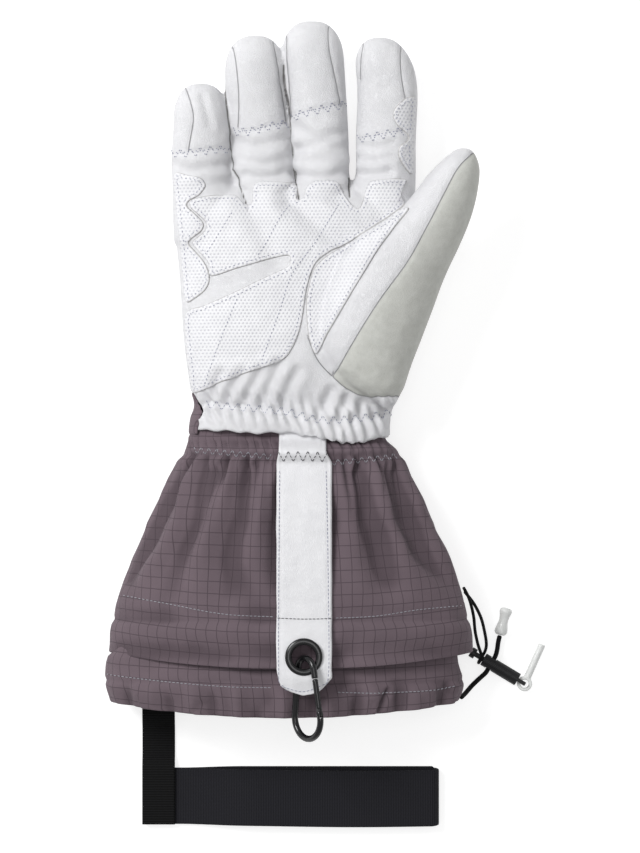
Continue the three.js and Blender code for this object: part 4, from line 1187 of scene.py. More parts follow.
def cloth_folds(points, weave):
    """How far the tier's cloth stands out of its plain form: gathers below the wrist, and long soft folds."""
    y = points[..., 1]
    u = weave[..., 0]
    flat = points.reshape(-1, 3)
    wander = 2.4 * ruffle(flat, 22.0, 11.0).reshape(y.shape)
    down = WRIST_Y - y
    line = bump_at(down, 9.5, 1.6)
    above = bump_at(down, 4.0, 3.2)
    below = eased((down - 9.0) / 4.0) * np.exp(-np.maximum(down - 12.0, 0) / 15.0)
    tight = 0.8 - 1.8 * np.abs(np.cos(math.pi * (u + 0.5 * wander) / 6.6)) ** 3
    spread = 1 - 0.25 * eased(down / 80)
    loose = np.cos(2 * math.pi * (u * spread + wander) / 11.5 + 0.6)
    long_fold = np.cos(2 * math.pi * (u * spread + 1.6 * wander) / 21.0 + 2.1)
    long_reach = eased((down - 10) / 10) * (1 - eased((down - 55) / 35))
    facing = eased((points[..., 2] - 16.0) / 22.0)
    folds = -0.9 * line + above * (0.3 + 1.3 * tight) + below * (1.3 * tight + 1.7 * loose)
    folds = folds * (0.35 + 0.65 * facing) + (2.6 * long_fold * long_reach - 1.2 * long_reach) * facing
    soft = (2.3 * ruffle(flat, 30.0, 31.0).reshape(y.shape)) * facing + 0.6 * ruffle(flat, 11.0, 41.0).reshape(y.shape)
    level = 1.1 * np.cos(2 * math.pi * (down - 97) / 21) * eased((down - 82) / 8) * facing - 0.8 * bump_at(down, 91.5, 1.4)
    tuck = -0.9 * (1 - eased((down - 3.0) / 4.5))
    pleat = signed_distance(flat, smoothed_line(SIDE_PLEAT, 2.0)).reshape(y.shape)
    sharp = np.where(points[..., 2] > 22, -2.4 * np.exp(-np.abs(pleat) / 1.6), 0) * (np.abs(pleat) < 9)
    cloth = folds + soft * eased((down - 12) / 20) + level + tuck + sharp
    under_strap = eased((UNDER_STRAP - np.abs(points[..., 0] - STRAP_X)) / 2.5) * (points[..., 2] > 22)
    return cloth * (1 - under_strap) + np.minimum(cloth, 0.3) * under_strap


def across_form(points, form):
    """Unit vectors out of a sleeve, square to its length."""
    way = points - np.array([form["x"], 0, form["height"] * 0.42])
    way[..., 1] = 0
    scale = np.array([2.0 / form["half"], 0, 2.0 / form["height"]])
    way = way * scale
    return way / np.maximum(np.linalg.norm(way, axis=-1), 1e-6)[..., None]


def make_tier():
    """The gauntlet's upper tier, with its gathers, its side pleat and its folded edge."""
    stations = np.arange(-7.4, TIER_LENGTH + 0.01, ROW_STEP)
    curl = [(0.6, -0.6), (1.4, -0.7)]
    rings, weave = sleeve("tier", tier_form, WRIST_Y, stations, TIER_BOW, COLUMNS, curl)
    out = across_form(rings, tier_form)
    folds = cloth_folds(rings, weave[:, :-1])
    neck = eased((WRIST_Y - rings[..., 1] - 0.5) / 3.0)
    standing = eased((rings[..., 2] - 1.0) / 8.0)
    rings += out * (folds * neck * standing)[..., None]
    rings[..., 2] = np.maximum(rings[..., 2], 0.02)
    piece = grid_piece("gauntlet_tier", rings, closed=True, weave=weave)
    # fold: how far the cloth stands out, which the material uses to paint shade in the valleys.
    set_attribute(piece, "fold", (folds * neck * standing).ravel())
    modified(piece, "SOLIDIFY", thickness=FABRIC_WALL * MM, offset=-1, use_even_offset=False)
    return piece


# Short puckers in the hem: a line, its depth and its half width
HEM_PUCKERS = [
    (seen((389, 688), (382, 701), (377, 716)), 2.2, 1.5),
    (seen((372, 700), (371, 708), (369, 716)), 1.3, 1.4),
    (seen((203, 700), (200, 706), (194, 712)), 1.3, 1.5),
    (seen((139, 699), (141, 706), (146, 712)), 1.4, 1.4),
    (seen((449, 684), (454, 693), (457, 700)), 1.6, 1.5),
]


def make_hem():
    """The hem band under the tier's fold, puckered by the cord inside its edge."""
    stations = np.arange(0.0, HEM_LENGTH - 0.5, ROW_STEP)
    curl = [(0.6, -0.8), (1.5, -1.1)]
    rings, weave = sleeve("hem", hem_form, HEM_TOP_Y, stations, TIER_BOW, COLUMNS, curl)
    out = across_form(rings, hem_form)
    flat = rings.reshape(-1, 3)
    u = weave[:, :-1, 0]
    down = HEM_TOP_Y - rings[..., 1]
    wander = 3.0 * ruffle(flat, 18.0, 51.0).reshape(u.shape)
    edge = eased((down - 22) / 14)
    facing = eased((rings[..., 2] - 16.0) / 20.0)
    pucker = 1.7 * np.cos(2 * math.pi * (u + wander) / 23.0) + 0.8 * np.cos(2 * math.pi * (u - wander) / 11.0)
    pucker = pucker * (0.25 + 0.75 * facing)
    soft = 1.6 * ruffle(flat, 20.0, 61.0).reshape(u.shape) * facing
    groove = -0.7 * bump_at(down, 26.0, 1.3)
    standing = eased((rings[..., 2] - 1.0) / 8.0) * eased((down - 12) / 6)
    for line, depth, width in HEM_PUCKERS:
        distance = signed_distance(flat, smoothed_line(line, 1.5)).reshape(u.shape)
        soft = soft - depth * bump_at(distance, 0, width) * (rings[..., 2] > 20)
    folds = (pucker * edge + soft + groove) * standing
    rings += out * folds[..., None]
    rings[..., 2] = np.maximum(rings[..., 2], 0.02)
    piece = grid_piece("gauntlet_hem_band", rings, closed=True, weave=weave)
    # fold: how far the cloth stands out, which the material uses to paint shade in the valleys.
    set_attribute(piece, "fold", folds.ravel())
    modified(piece, "SOLIDIFY", thickness=FABRIC_WALL * MM, offset=-1, use_even_offset=False)
    return piece


tier = paint(smooth(make_tier(), 60), ripstop_finish, "root", ["gauntlet"])
hem = paint(smooth(make_hem(), 60), ripstop_finish, "root", ["gauntlet_hem"])
tier_top = surface_of(tier)
hem_top = surface_of(hem)

# The strap, sewn down from the wrist and free beyond its last seam
STRAP_WIDTH, STRAP_START_Y, STRAP_TIP_Y, STRAP_SEWN_Y = 27.5, -2.0, -133.0, -93.0
EYELET_X, EYELET_Y, EYELET_Z = 6.5, -113.85, 61.0
EYELET_HOLE, EYELET_RIM, EYELET_BARREL = 12.0, 18.5, 13.4
STRAP_TIP = [(0.0, -0.05, -0.05), (0.9, -0.27, 0.35), (1.6, -0.45, 0.44), (2.9, -0.63, 0.62), (4.6, -0.84, 0.73),
             (8.7, -0.93, 1.0), (13.0, -1.0, 1.0), (200.0, -1.0, 1.0)]


def tier_height(x, y):
    """The tier's plain form under the strap."""
    along = (WRIST_Y - y) / (1 + TIER_BOW / TIER_LENGTH)
    left, right, low, high = form_box(tier_form, max(along, 0.0))
    u = abs((x - (left + right) / 2) / ((right - left) / 2))
    return (low + high) / 2 + (high - low) / 2 * (1 - u**2.4) ** (1 / 2.4)


def strap_height(x, y):
    """The strap's underside."""
    sewn = tier_height(x, max(y, STRAP_SEWN_Y)) + 0.9 + 0.9 * bump_at(y, -12.0, 9.0)
    rim_y = EYELET_Y - EYELET_RIM / 2
    lift = float(eased((STRAP_SEWN_Y - y) / (STRAP_SEWN_Y - rim_y)))
    droop = 1.6 * float(eased((rim_y - y) / (rim_y - STRAP_TIP_Y)))
    return sewn * (1 - lift) + (EYELET_Z - STRAP_THICKNESS / 2 - droop) * lift


def make_strap():
    """A leather strip with rounded edges and a shaped tip."""
    backs = np.array([row[0] for row in STRAP_TIP])
    stations = np.concatenate([[0.05, 0.3, 0.7, 1.2], np.arange(1.8, STRAP_START_Y - STRAP_TIP_Y, 0.8)])
    sections = []
    for back_by in stations:
        left = STRAP_X + np.interp(back_by, backs, [row[1] for row in STRAP_TIP]) * STRAP_WIDTH / 2
        right = STRAP_X + np.interp(back_by, backs, [row[2] for row in STRAP_TIP]) * STRAP_WIDTH / 2
        y = STRAP_TIP_Y + back_by
        narrowed = 2.9 * float(eased((y + 19.0) / 7.0))
        left += 0.35 * narrowed
        right -= narrowed
        if back_by > 12:
            left += 0.35 * noise.noise(Vector((0, y / 14.0, 2.0)))
            right += 0.35 * noise.noise(Vector((5, y / 14.0, 2.0)))
        loop = []
        across = np.linspace(0, 1, 30)
        ease = 0.5 - 0.5 * np.cos(math.pi * across)
        for t in ease:
            x = left + (right - left) * t
            crown = STRAP_THICKNESS * min(1.0, ((min(x - left, right - x) + 0.05) / 0.9) ** 0.5)
            lumps = 0.28 * noise.noise(Vector((x / 7.0, y / 7.0, 9.0))) + 0.12 * noise.noise(Vector((x / 2.5, y / 2.5, 4.0)))
            stitched = -0.28 * (bump_at(min(x - left, right - x), 1.9, 0.55) if back_by > 9 else 0)
            loop.append((x, y, strap_height(x, y) + crown + (lumps + stitched) * min(1, min(x - left, right - x))))
        for t in ease[::-1][1:-1]:
            x = left + (right - left) * t
            loop.append((x, y, strap_height(x, y)))
        sections.append(loop)
    piece = outward(grid_piece("strap_leather", np.array(sections), closed=True, caps=True))
    deselect()
    bpy.ops.mesh.primitive_cylinder_add(
        vertices=64,
        radius=(EYELET_BARREL / 2 - 0.3) * MM,
        depth=0.012,
        location=(EYELET_X * MM, EYELET_Y * MM, EYELET_Z * MM),
    )
    return boolean(piece, bpy.context.object, "DIFFERENCE")


strap = paint(smooth(make_strap(), 55), plain_leather("strap_leather"), "root", ["strap"])
strap_top = surface_of(strap)


def turned(name, profile, steps, matrix):
    """A ring or knob turned from a profile of radius and height, about its own Z."""
    points = [(radius, 0, height) for radius, height in profile]
    piece = mesh_piece(name, points, [])
    use(piece)
    edit = bmesh.new()
    edit.from_mesh(piece.data)
    edit.verts.ensure_lookup_table()
    for i in range(len(points) - 1):
        edit.edges.new((edit.verts[i], edit.verts[i + 1]))
    edit.to_mesh(piece.data)
    edit.free()
    bpy.ops.object.mode_set(mode="EDIT")
    bpy.ops.mesh.select_all(action="SELECT")
    bpy.ops.mesh.spin(steps=steps, angle=2 * math.pi, center=(0, 0, 0), axis=(0, 0, 1))
    bpy.ops.object.mode_set(mode="OBJECT")
    outward(piece)
    piece.data.transform(matrix)
    return piece


def millimetres(x, y, z):
    return Matrix.Translation((x * MM, y * MM, z * MM))


metal = black_metal()
FLANGE = STRAP_THICKNESS / 2 + 0.4
eyelet_profile = [(EYELET_HOLE / 2, 0.0)]
for turn in np.linspace(180, 0, 13):
    radius = (EYELET_RIM - EYELET_HOLE) / 4
    centre = (EYELET_RIM + EYELET_HOLE) / 4
    eyelet_profile.append((centre + radius * math.cos(math.radians(turn)), FLANGE - 0.3 + 0.95 * math.sin(math.radians(turn))))
eyelet_profile += [(EYELET_RIM / 2, FLANGE - 0.5), (EYELET_BARREL / 2, FLANGE - 0.5), (EYELET_BARREL / 2, 0.5 - FLANGE)]
eyelet_profile += [(EYELET_RIM / 2, 0.5 - FLANGE), (EYELET_RIM / 2 - 0.4, -FLANGE - 0.4), (EYELET_HOLE / 2 + 0.5, -FLANGE - 0.4)]
eyelet_profile += [(EYELET_HOLE / 2, -FLANGE), (EYELET_HOLE / 2, 0.0)]
eyelet = turned("eyelet_ring", eyelet_profile, 72, millimetres(EYELET_X, EYELET_Y, EYELET_Z))
paint(smooth(eyelet, 40), metal, "root", ["eyelet"])

# The carabiner, in its own plane
WIRE, CLIP_LENGTH, CLIP_TOP, CLIP_BOTTOM = 3.2, 43.0, 6.2, 9.8
GATE_LENGTH, GATE_DIAMETER, PIN_DIAMETER, TONGUE = 17.5, 2.8, 1.1, 1.5
clip_place = (
    millimetres(7.2, -114.5, EYELET_Z)
    @ Matrix.Rotation(math.radians(-50), 4, "Y")
    @ Matrix.Rotation(math.radians(3), 4, "X")
)
top_centre = -CLIP_TOP
bottom_centre = -(CLIP_LENGTH - WIRE - CLIP_BOTTOM)
slant = math.asin((CLIP_BOTTOM - CLIP_TOP) / (top_centre - bottom_centre))


def arc(radius, centre, start, end, count):
    turns = np.linspace(start, end, count)
    return np.stack([radius * np.cos(turns), centre + radius * np.sin(turns), 0 * turns], 1)


bottom_arc = arc(CLIP_BOTTOM, bottom_centre, slant, -math.pi - slant, 60)
top_arc = arc(CLIP_TOP, top_centre, math.pi - slant, slant, 44)
foot, head = bottom_arc[0], top_arc[-1]
arm_way = (head - foot) / np.linalg.norm(head - foot)
hinge = foot + 1.2 * arm_way
cheek_end = 0.45 * WIRE


def on_arm(along):
    return hinge + along * arm_way


def box_piece(name, size, centre):
    """A block added as a primitive cube at its size."""
    deselect()
    bpy.ops.mesh.primitive_cube_add(size=1, location=tuple(c * MM for c in centre), scale=tuple(s * MM for s in size))
    piece = bpy.context.object
    piece.name = name
    bpy.ops.object.transform_apply(location=True, rotation=True, scale=True)
    return piece


def rod(name, radius, length, axis, centre, vertices=40):
    """A cylinder primitive along an axis."""
    turn = {"x": (0, math.pi / 2, 0), "y": (math.pi / 2, 0, 0), "z": (0, 0, 0)}[axis]
    deselect()
    bpy.ops.mesh.primitive_cylinder_add(
        vertices=vertices, radius=radius * MM, depth=length * MM, location=tuple(c * MM for c in centre), rotation=turn
    )
    piece = bpy.context.object
    piece.name = name
    bpy.ops.object.transform_apply(location=True, rotation=True, scale=True)
    return piece


arm_turn = Matrix.Rotation(math.atan2(arm_way[1], arm_way[0]) - math.pi / 2, 4, "Z")
on_hinge = millimetres(*hinge) @ arm_turn


def placed(piece, matrix):
    piece.data.transform(matrix)
    piece.data.update()
    return piece


def make_clip_body():
    """A pear of round wire with a slotted hinge end and a flat nose."""
    way = np.vstack([[on_arm(cheek_end)], bottom_arc, top_arc, [on_arm(GATE_LENGTH + 0.35)]])
    body = swept("carabiner_ring", evenly(way, 0.5), WIRE / 2, 28, 0.12)
    slot = box_piece("slot", (7, 6.4, TONGUE + 0.7), (0, 3.2 - 2.1, 0))
    boolean(body, placed(slot, on_hinge), "DIFFERENCE")
    pin = rod("pin", PIN_DIAMETER / 2, WIRE + 0.3, "z", (0, 0, 0))
    return placed(boolean(body, placed(pin, on_hinge), "UNION"), clip_place)


def make_gate():
    """The gate: a round bar with a flat tongue on the hinge pin."""
    reach = cheek_end + 2.2
    wide = GATE_DIAMETER - 0.2
    bar = swept("carabiner_bar", evenly(np.array([on_arm(cheek_end + 1.1), on_arm(GATE_LENGTH)]), 0.5), GATE_DIAMETER / 2, 28, 0.25)
    tongue = box_piece("tongue", (wide, reach, TONGUE), (0, reach / 2, 0))
    boolean(tongue, rod("knuckle", wide / 2, TONGUE, "z", (0, 0, 0)), "UNION")
    boolean(tongue, rod("pin_hole", PIN_DIAMETER / 2 + 0.3, 4, "z", (0, 0, 0)), "DIFFERENCE")
    return placed(boolean(bar, placed(tongue, on_hinge), "UNION"), clip_place)


clip = make_clip_body()
gate = make_gate()
for metal_piece in (clip, gate):
    modified(metal_piece, "BEVEL", width=0.12 * MM, segments=2, limit_method="ANGLE", angle_limit=math.radians(50))
paint(smooth(clip, 40), metal, "root", ["carabiner_body"])
paint(smooth(gate, 40), metal, "gate", ["carabiner_gate"])

# The cord lock lies beside the hem. Its own X runs from the plunger's head to the far end of the barrel.
BARREL_DIAMETER, BARREL_LENGTH, BARREL_BORE, BORE_DEPTH = 6.6, 20.0, 4.7, 14.0
lock_place = millimetres(97.0, -117.6, BARREL_DIAMETER / 2) @ Matrix.Rotation(math.radians(-31), 4, "Z")
PLUNGER, PLUNGER_NECK, PLUNGER_HEAD, HEAD_LENGTH, STROKE = 4.0, 2.6, 5.2, 2.6, 2.2
CROSS_WIDE = DRAWCORD_DIAMETER + 0.7
HOLE_X = 3.2 + DRAWCORD_DIAMETER / 2
RING_OUTER, RING_HOLE, RING_HEIGHT, RING_TUBE, RING_REACH = 7.6, 4.2, 4.0, 3.7, 19.0
ring_x = BARREL_LENGTH + 0.35 + RING_OUTER / 2
plastic = black_plastic()


def make_barrel():
    """A ribbed barrel with a bore for the plunger, a cross hole for the cord and a lug for the tab's ring."""
    body = rod("cord_lock_body", BARREL_DIAMETER / 2, BARREL_LENGTH, "x", (BARREL_LENGTH / 2, 0, 0), 48)
    use(body)
    bpy.ops.object.mode_set(mode="EDIT")
    bpy.ops.mesh.select_all(action="DESELECT")
    edit = bmesh.from_edit_mesh(body.data)
    sides = [face for face in edit.faces if abs(face.normal.x) < 0.1]
    sides.sort(key=lambda face: math.atan2(face.normal.z, face.normal.y))
    for face in sides[::2]:
        face.select = True
    bmesh.update_edit_mesh(body.data)
    bpy.ops.mesh.inset(thickness=0.09 * MM, depth=-0.16 * MM, use_individual=True)
    bpy.ops.object.mode_set(mode="OBJECT")
    boolean(body, rod("bore", BARREL_BORE / 2, BORE_DEPTH, "x", (BORE_DEPTH / 2 - 0.01, 0, 0), 36), "DIFFERENCE")
    boolean(body, box_piece("cross", (CROSS_WIDE, 20, CROSS_WIDE), (HOLE_X, 0, 0)), "DIFFERENCE")
    lug_x = ring_x - RING_HOLE / 2 + 0.35 + 1.0
    lug_z = BARREL_DIAMETER / 2 - 1.1
    run = lug_x + 1.0 - BARREL_LENGTH + 0.5
    lug = rod("lug", 1.0, run, "x", (BARREL_LENGTH - 0.5 + run / 2, 0, lug_z), 20)
    boolean(lug, rod("lug_foot", 1.0, 3.4, "z", (lug_x, 0, lug_z - 0.85), 20), "UNION")
    boolean(body, lug, "UNION")
    modified(body, "BEVEL", width=0.1 * MM, segments=2, limit_method="ANGLE", angle_limit=math.radians(60))
    return placed(body, lock_place)


def make_plunger():
    """The plunger: a slotted shank, a neck and a round head."""
    neck = STROKE + TETHER_DIAMETER + 1.05
    tail = BORE_DEPTH - STROKE - 0.7 - 2
    body = rod("cord_lock_button", PLUNGER / 2, tail - 0.4, "x", ((tail + 0.4) / 2, 0, 0), 36)
    boolean(body, rod("neck", PLUNGER_NECK / 2, neck + 1, "x", ((1 - neck) / 2, 0, 0), 32), "UNION")
    boolean(body, box_piece("slot", (CROSS_WIDE + STROKE, 12, CROSS_WIDE), (HOLE_X - STROKE / 2, 0, 0)), "DIFFERENCE")
    boolean(body, rod("head", PLUNGER_HEAD / 2, HEAD_LENGTH, "x", (-neck - HEAD_LENGTH / 2, 0, 0), 36), "UNION")
    modified(body, "BEVEL", width=0.3 * MM, segments=3, limit_method="ANGLE", angle_limit=math.radians(60))
    return placed(body, lock_place)


barrel = paint(smooth(make_barrel(), 35), plastic, "root", ["cord_lock_barrel"])
plunger = paint(smooth(make_plunger(), 35), plastic, "plunger", ["cord_lock_plunger"])

# Pull tabs
TAB_LENGTH, TAB_DIAMETER = 14.0, 6.4
TAB_PROFILE = [(0.0, 0.0), (0.3, 0.0), (0.42, 0.03), (0.5, 0.1), (0.5, 0.2), (0.44, 0.32), (0.37, 0.45), (0.36, 0.55),
               (0.4, 0.7), (0.48, 0.82), (0.49, 0.9), (0.42, 0.97), (0.25, 1.0), (0.0, 1.0)]
tab_finish = milky_tab()
tab_way = drawcord_line[-1] - drawcord_line[-4]
tab_turn = math.atan2(tab_way[1], tab_way[0])
tab_start = drawcord_line[-1] + 0.3 * np.array([math.cos(tab_turn), math.sin(tab_turn), 0])
tab_matrix = (
    millimetres(tab_start[0], tab_start[1], TAB_DIAMETER / 2 + 0.02)
    @ Matrix.Rotation(tab_turn, 4, "Z")
    @ Matrix.Rotation(math.pi / 2, 4, "Y")
)
cord_tab = turned("cord_pull_tab", [(r * TAB_DIAMETER, h * TAB_LENGTH) for r, h in TAB_PROFILE], 40, tab_matrix)
paint(smooth(cord_tab, 60), tab_finish, "root", ["pull_tab_cord"])


def make_ring_tab():
    """A ring around the lug with a round handle."""
    body = rod("lock_pull_tab", RING_OUTER / 2, RING_HEIGHT, "z", (0, 0, 0), 48)
    reach_x = (RING_OUTER + RING_REACH) / 2 - 1
    boolean(body, rod("handle", RING_TUBE / 2, RING_REACH, "x", (reach_x, 0, 0), 32), "UNION")
    boolean(body, rod("hole", RING_HOLE / 2, 2 * RING_HEIGHT, "z", (0, 0, 0), 36), "DIFFERENCE")
    modified(body, "REMESH", mode="VOXEL", voxel_size=0.3 * MM)
    modified(body, "SMOOTH", factor=0.5, iterations=5)
    lock_ring = lock_place @ Vector((ring_x * MM, 0, 0))
    turn = Matrix.Rotation(math.radians(66), 4, "Z")
    return placed(body, Matrix.Translation((lock_ring.x, lock_ring.y, RING_HEIGHT / 2 * MM)) @ turn)


ring_tab = paint(smooth(make_ring_tab(), 60), tab_finish, "root", ["pull_tab_lock"])

# The wrist leash
WEBBING_X, WEBBING_WIDTH, WEBBING_THICKNESS, WEBBING_END_Y = -66.9, 16.5, 1.5, -201.0
ELASTIC_Y, ELASTIC_WIDTH, ELASTIC_THICKNESS, ELASTIC_END_X, ELASTIC_LOOP = -186.6, 30.0, 1.3, 74.5, 8.5


def strip(name, path, ways, width, thickness, columns, wobble=0.0):
    """A flat strip along a path of points, as wide as its ways, with rounded edges."""
    run = np.concatenate([[0], np.cumsum(np.linalg.norm(np.diff(path, axis=0), axis=1))])
    tangent = np.gradient(path, axis=0)
    tangent /= np.linalg.norm(tangent, axis=1)[:, None]
    across = np.concatenate([[-1, -0.985], np.linspace(-0.95, 0.95, columns), [0.985, 1]])
    edge = np.sqrt(np.clip(1 - ((np.abs(across) - 0.95) / 0.05).clip(0, 1) ** 2, 0, 1))
    sections, weave = [], []
    for i, point in enumerate(path):
        up = np.cross(tangent[i], ways[i])
        up /= np.linalg.norm(up)
        upper = [point + ways[i] * a * width / 2 + up * thickness / 2 * e for a, e in zip(across, edge)]
        lower = [point + ways[i] * a * width / 2 - up * thickness / 2 * e for a, e in zip(across, edge)]
        sections.append(upper + lower[::-1][1:-1])
        places = [a * width / 2 for a in across]
        weave.append([(p, run[i]) for p in places + places[::-1][1:-1] + places[:1]])
    return outward(grid_piece(name, np.array(sections), closed=True, weave=np.array(weave), caps=True))


def make_webbing():
    """Ribbed webbing, from inside the hem down to the surface and over the elastic's sewn end."""
    sewn = 2 * ELASTIC_THICKNESS + 0.2 + 0.35
    high = 3.25
    hem_end = HEM_TOP_Y - HEM_LENGTH - TIER_BOW
    corner = ELASTIC_Y + ELASTIC_WIDTH / 2
    ys = [hem_end + 16, hem_end + 4, hem_end - 1, hem_end - 7, hem_end - 12, corner + 6, corner + 1, corner - 4, WEBBING_END_Y]
    zs = [high, high, high, 0.02, 0.02, 0.02, sewn, sewn, sewn]
    ys_fine = np.arange(ys[0], ys[-1] - 0.01, -0.7)
    zs_fine = np.interp(-ys_fine, [-y for y in ys], zs) + WEBBING_THICKNESS / 2
    for _ in range(8):
        zs_fine[1:-1] = 0.25 * zs_fine[:-2] + 0.5 * zs_fine[1:-1] + 0.25 * zs_fine[2:]
    path = np.stack([np.full(len(ys_fine), WEBBING_X), ys_fine, zs_fine], 1)
    ways = np.tile([1.0, 0, 0], (len(path), 1))
    return strip("leash_ribbed_webbing", path, ways, WEBBING_WIDTH, WEBBING_THICKNESS, 24)


def make_elastic():
    """A closed band of elastic: its back run lies flat, and its front run arches from the sewn end to the loop."""
    left = WEBBING_X - WEBBING_WIDTH / 2 + 0.6
    half = ELASTIC_LOOP / 2
    inner = half - ELASTIC_THICKNESS / 2
    centre_x = ELASTIC_END_X - half
    back_run = [(x, ELASTIC_THICKNESS / 2) for x in np.linspace(left, centre_x, 110)]
    bend = [
        (centre_x + inner * math.cos(t), half + inner * math.sin(t)) for t in np.linspace(-math.pi / 2, math.pi / 2, 14)[1:-1]
    ]
    front_xs = np.linspace(centre_x, left, 110)
    rise_start = WEBBING_X + WEBBING_WIDTH / 2 + 3
    low_z, high_z = 1.5 * ELASTIC_THICKNESS + 0.15, ELASTIC_LOOP - ELASTIC_THICKNESS / 2
    front_run = [(x, low_z + (high_z - low_z) * float(eased((x - rise_start) / 40))) for x in front_xs]
    line = np.array(back_run + bend + front_run)
    path = np.stack([line[:, 0], np.full(len(line), ELASTIC_Y), line[:, 1]], 1)
    front = np.concatenate([np.zeros(len(back_run)), np.linspace(0, 1, len(bend)), np.ones(len(front_run))])
    path[:, 1] += np.where(front > 0, -0.9 * front - 0.35 * np.sin(path[:, 0] / 21.0), 0.7) * eased((path[:, 0] - rise_start) / 30)
    ways = np.tile([0, 1.0, 0], (len(path), 1))
    return strip("leash_elastic_band", path, ways, ELASTIC_WIDTH - 1.6, ELASTIC_THICKNESS, 30)


paint(smooth(make_webbing(), 50), ribbed_webbing(), "root", ["leash_webbing"])
paint(smooth(make_elastic(), 50), woven_elastic(), "root", ["leash_elastic"])


# Stitching: short thread loops sunk a little into the surface
def stitch_mesh(length, thick, sides=6):
    """A stitch along X: a few rings that taper to both ends."""
    places = [(-0.5, 0.0), (-0.42, 0.62), (-0.15, 1.0), (0.15, 1.0), (0.42, 0.62), (0.5, 0.0)]
    points = [(places[0][0] * length, 0, 0)]
    for share, scale in places[1:-1]:
        for k in range(sides):
            turn = 2 * math.pi * k / sides
            points.append((share * length, scale * thick / 2 * math.cos(turn), scale * thick / 2 * math.sin(turn)))
    points.append((places[-1][0] * length, 0, 0))
    faces = []
    rings = len(places) - 2
    for k in range(sides):
        n = (k + 1) % sides
        faces.append((0, 1 + n, 1 + k))
        for r in range(rings - 1):
            a, b = 1 + r * sides, 1 + (r + 1) * sides
            faces.append((a + k, a + n, b + n, b + k))
        last = 1 + (rings - 1) * sides
        faces.append((last + k, last + n, len(points) - 1))
    return np.array(points), faces


def zigzag(line, period, reach):
    """A zigzag along a line, as corner points."""
    fine = evenly(line, period / 2)
    way = np.gradient(fine, axis=0)
    side = np.stack([-way[:, 1], way[:, 0]], 1)
    side /= np.linalg.norm(side, axis=1)[:, None]
    swing = np.where(np.arange(len(fine)) % 2 == 0, 1.0, -1.0)
    return fine + side * (reach * swing)[:, None]


def stitched(name, lines, tree, pitch, length, thick, material, slot, sink=0.1):
    """Stitches along lines seen from above, on a surface."""
    shape, shape_faces = stitch_mesh(length, thick)
    points, faces = [], []
    for line in lines:
        for start, end in zip(line[:-1], line[1:]):
            span = np.linalg.norm(end - start)
            count = max(1, int(round(span / pitch)))
            for k in range(count):
                place = start + (end - start) * (k + 0.5) / count
                hit, normal = height_on(tree, *place)
                along = np.array([*(end - start), 0.0])
                along -= normal * (along @ normal)
                along /= np.linalg.norm(along)
                side = np.cross(normal, along)
                centre = hit + normal * (thick / 2 - sink)
                base = len(points)
                stretch = min(1.0, span / count * 0.86 / length)
                points += [centre + p[0] * stretch * along + p[1] * side + p[2] * normal for p in shape]
                faces += [tuple(base + i for i in face) for face in shape_faces]
    piece = mesh_piece(name, points, faces)
    return paint(smooth(piece, 60), material)


def seam_line(line, step=2.0, shift=0.0):
    """A smooth line through points, moved to its left by a shift, in stitch-long steps."""
    fine = smoothed_line(line, step)
    way = np.gradient(fine, axis=0)
    side = np.stack([-way[:, 1], way[:, 0]], 1)
    side /= np.maximum(np.linalg.norm(side, axis=1), 1e-9)[:, None]
    return fine + side * shift


pale_thread = thread_finish("pale_thread", (0.30, 0.31, 0.40), (0.16, 0.17, 0.24))
grey_thread = thread_finish("grey_thread", (0.30, 0.30, 0.33), (0.18, 0.18, 0.21))
dark_thread = thread_finish("dark_thread", (0.035, 0.035, 0.045), (0.015, 0.015, 0.02))

hand_lines = [zigzag(ELASTIC_LINE, GATHER_PERIOD, 2.2)]
stitched("hand_stitching", hand_lines, hand_top, 1.9, 1.3, 0.42, pale_thread, "leather")
cap_lines = []
for cap_name in ("pinky_cap", "ring_cap", "middle_cap", "index_cap"):
    cap = smoothed_line(SEAMS[cap_name], 1.0) + np.array([0, -0.5])
    cap_lines += [zigzag(cap, 5.2, 2.3), seam_line(cap, 2.0, 0.5)]
stitched("cap_stitching", cap_lines, hand_top, 1.5, 0.75, 0.5, pale_thread, "leather")


def inner_row(outline, inset):
    """A row of stitching inside a patch's edge, in stretches."""
    edge = smoothed_line(seen(*outline), 1.1, closed=True)
    area = 0.5 * np.sum(edge[:-1, 0] * edge[1:, 1] - edge[1:, 0] * edge[:-1, 1])
    row = seam_line(edge, 1.1, inset if area > 0 else -inset)
    kept = inside(row, edge[:-1]) & (np.abs(signed_distance(row, edge)) > 0.85 * inset)
    return [row[i:i + 2] for i in range(0, len(row) - 1, 2) if kept[i] and kept[i + 1]]


patch_rows = [row for _, outline in PATCHES.values() for row in inner_row(outline, 1.9)]
PALM_ROWS_OF_STITCHES = [
    seen((233, 213), (220, 234), (207, 254)),
    seen((291, 206), (282, 216), (267, 243), (258, 257)),
    seen((238, 299), (221, 341), (205, 385)),
    seen((339, 205), (326, 226), (313, 247), (292, 276), (280, 312), (262, 362)),
]
patch_rows += [seam_line(line, 2.0) for line in PALM_ROWS_OF_STITCHES]
stitched("patch_stitching", patch_rows, patched_top, 2.0, 1.0, 0.42, pale_thread, "grip_leather")

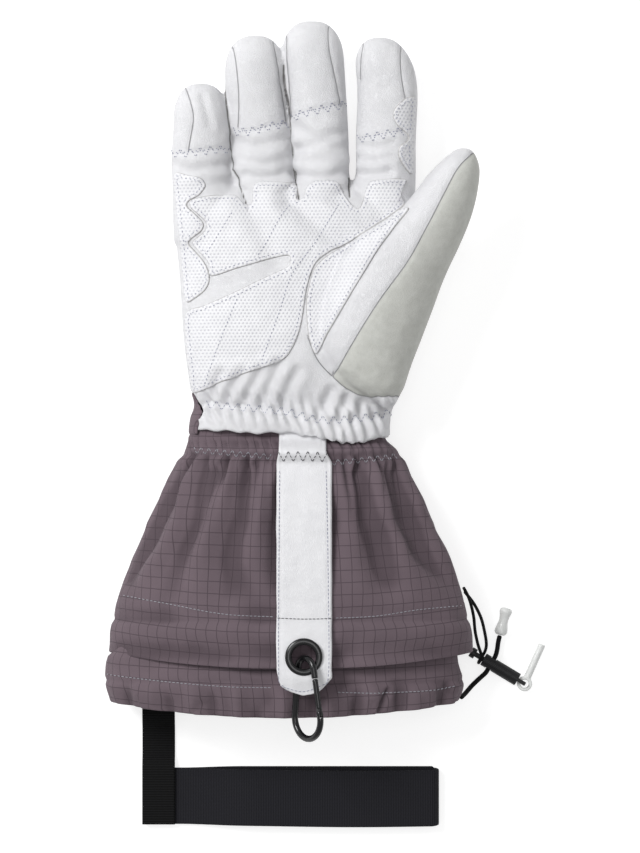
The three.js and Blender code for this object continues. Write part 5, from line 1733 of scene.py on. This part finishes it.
fabric_zigzags = [
    zigzag(smoothed_line(seen((194, 450), (230, 453), (272, 456.5)), 1.0), 3.85, 1.6),
    zigzag(smoothed_line(seen((330, 462.5), (360, 460), (397, 456)), 1.0), 3.85, 1.6),
]
upper_row = [
    seam_line(seen((123, 594.5), (171, 602.5), (225, 612), (274, 614.6))),
    seam_line(seen((335, 615.7), (375.5, 614), (418, 608), (466, 604.6))),
]
stitched("tier_stitching", fabric_zigzags + upper_row, tier_top, 1.9, 1.6, 0.42, grey_thread, "fabric")
lower_row = [
    seam_line(seen((106, 673.6), (171, 680), (225, 684), (272, 685))),
    seam_line(seen((337, 689.5), (375.5, 690.6), (431, 688.7), (455, 685))),
]
stitched("hem_stitching", lower_row, hem_top, 1.9, 1.6, 0.42, grey_thread, "fabric")
strap_rows = [
    seam_line(seen((280, 470), (279.4, 560), (279.4, 672), (284, 681))),
    seam_line(seen((326, 470), (327.8, 560), (328.6, 668), (322, 681))),
    seam_line(seen((283, 683), (303, 688), (321, 682))),
]
stitched("strap_stitching", strap_rows, strap_top, 1.9, 1.5, 0.38, pale_thread, "leather")
strap_cross = [
    zigzag(smoothed_line(seen((279, 456.5), (303, 456), (327, 457)), 1.0), 5.0, 2.6),
    seam_line(seen((277.5, 615.5), (304, 616.5), (331.5, 616))),
]
stitched("strap_cross_stitching", strap_cross, strap_top, 1.9, 1.75, 0.42, dark_thread, "leather")

# Floor, light and background
deselect()
bpy.ops.mesh.primitive_plane_add(size=6, location=(0, 0, -0.0002))
floor = bpy.context.object
floor.name = "floor"
floor_finish = Finish("floor_paper", gloss=0.0)
floor_finish.shader.inputs["Emission Color"].default_value = (1, 1, 1, 1)
floor_finish.shader.inputs["Emission Strength"].default_value = 0.72
floor.data.materials.append(floor_finish.dressed((0.45, 0.45, 0.45), 0.9))


def softbox(name, place, aim, size, power):
    """A square area light aimed at a point."""
    data = bpy.data.lights.new(name, "AREA")
    data.size = size
    data.energy = power
    light = bpy.data.objects.new(name, data)
    light.location = place
    light.rotation_mode = "QUATERNION"
    light.rotation_quaternion = (Vector(aim) - Vector(place)).to_track_quat("-Z", "Y")
    bpy.context.collection.objects.link(light)


softbox("key_light", (-1.0, 0.75, 1.4), (0, 0, 0), 0.7, 30.0)
softbox("top_light", (0.1, 0.0, 2.0), (0, 0, 0), 0.9, 7.0)
world = bpy.data.worlds.new("studio")
world.use_nodes = True
world.node_tree.nodes["Background"].inputs["Color"].default_value = (1, 1, 1, 1)
world.node_tree.nodes["Background"].inputs["Strength"].default_value = 0.45
bpy.context.scene.world = world
bpy.context.scene.view_settings.view_transform = "Standard"
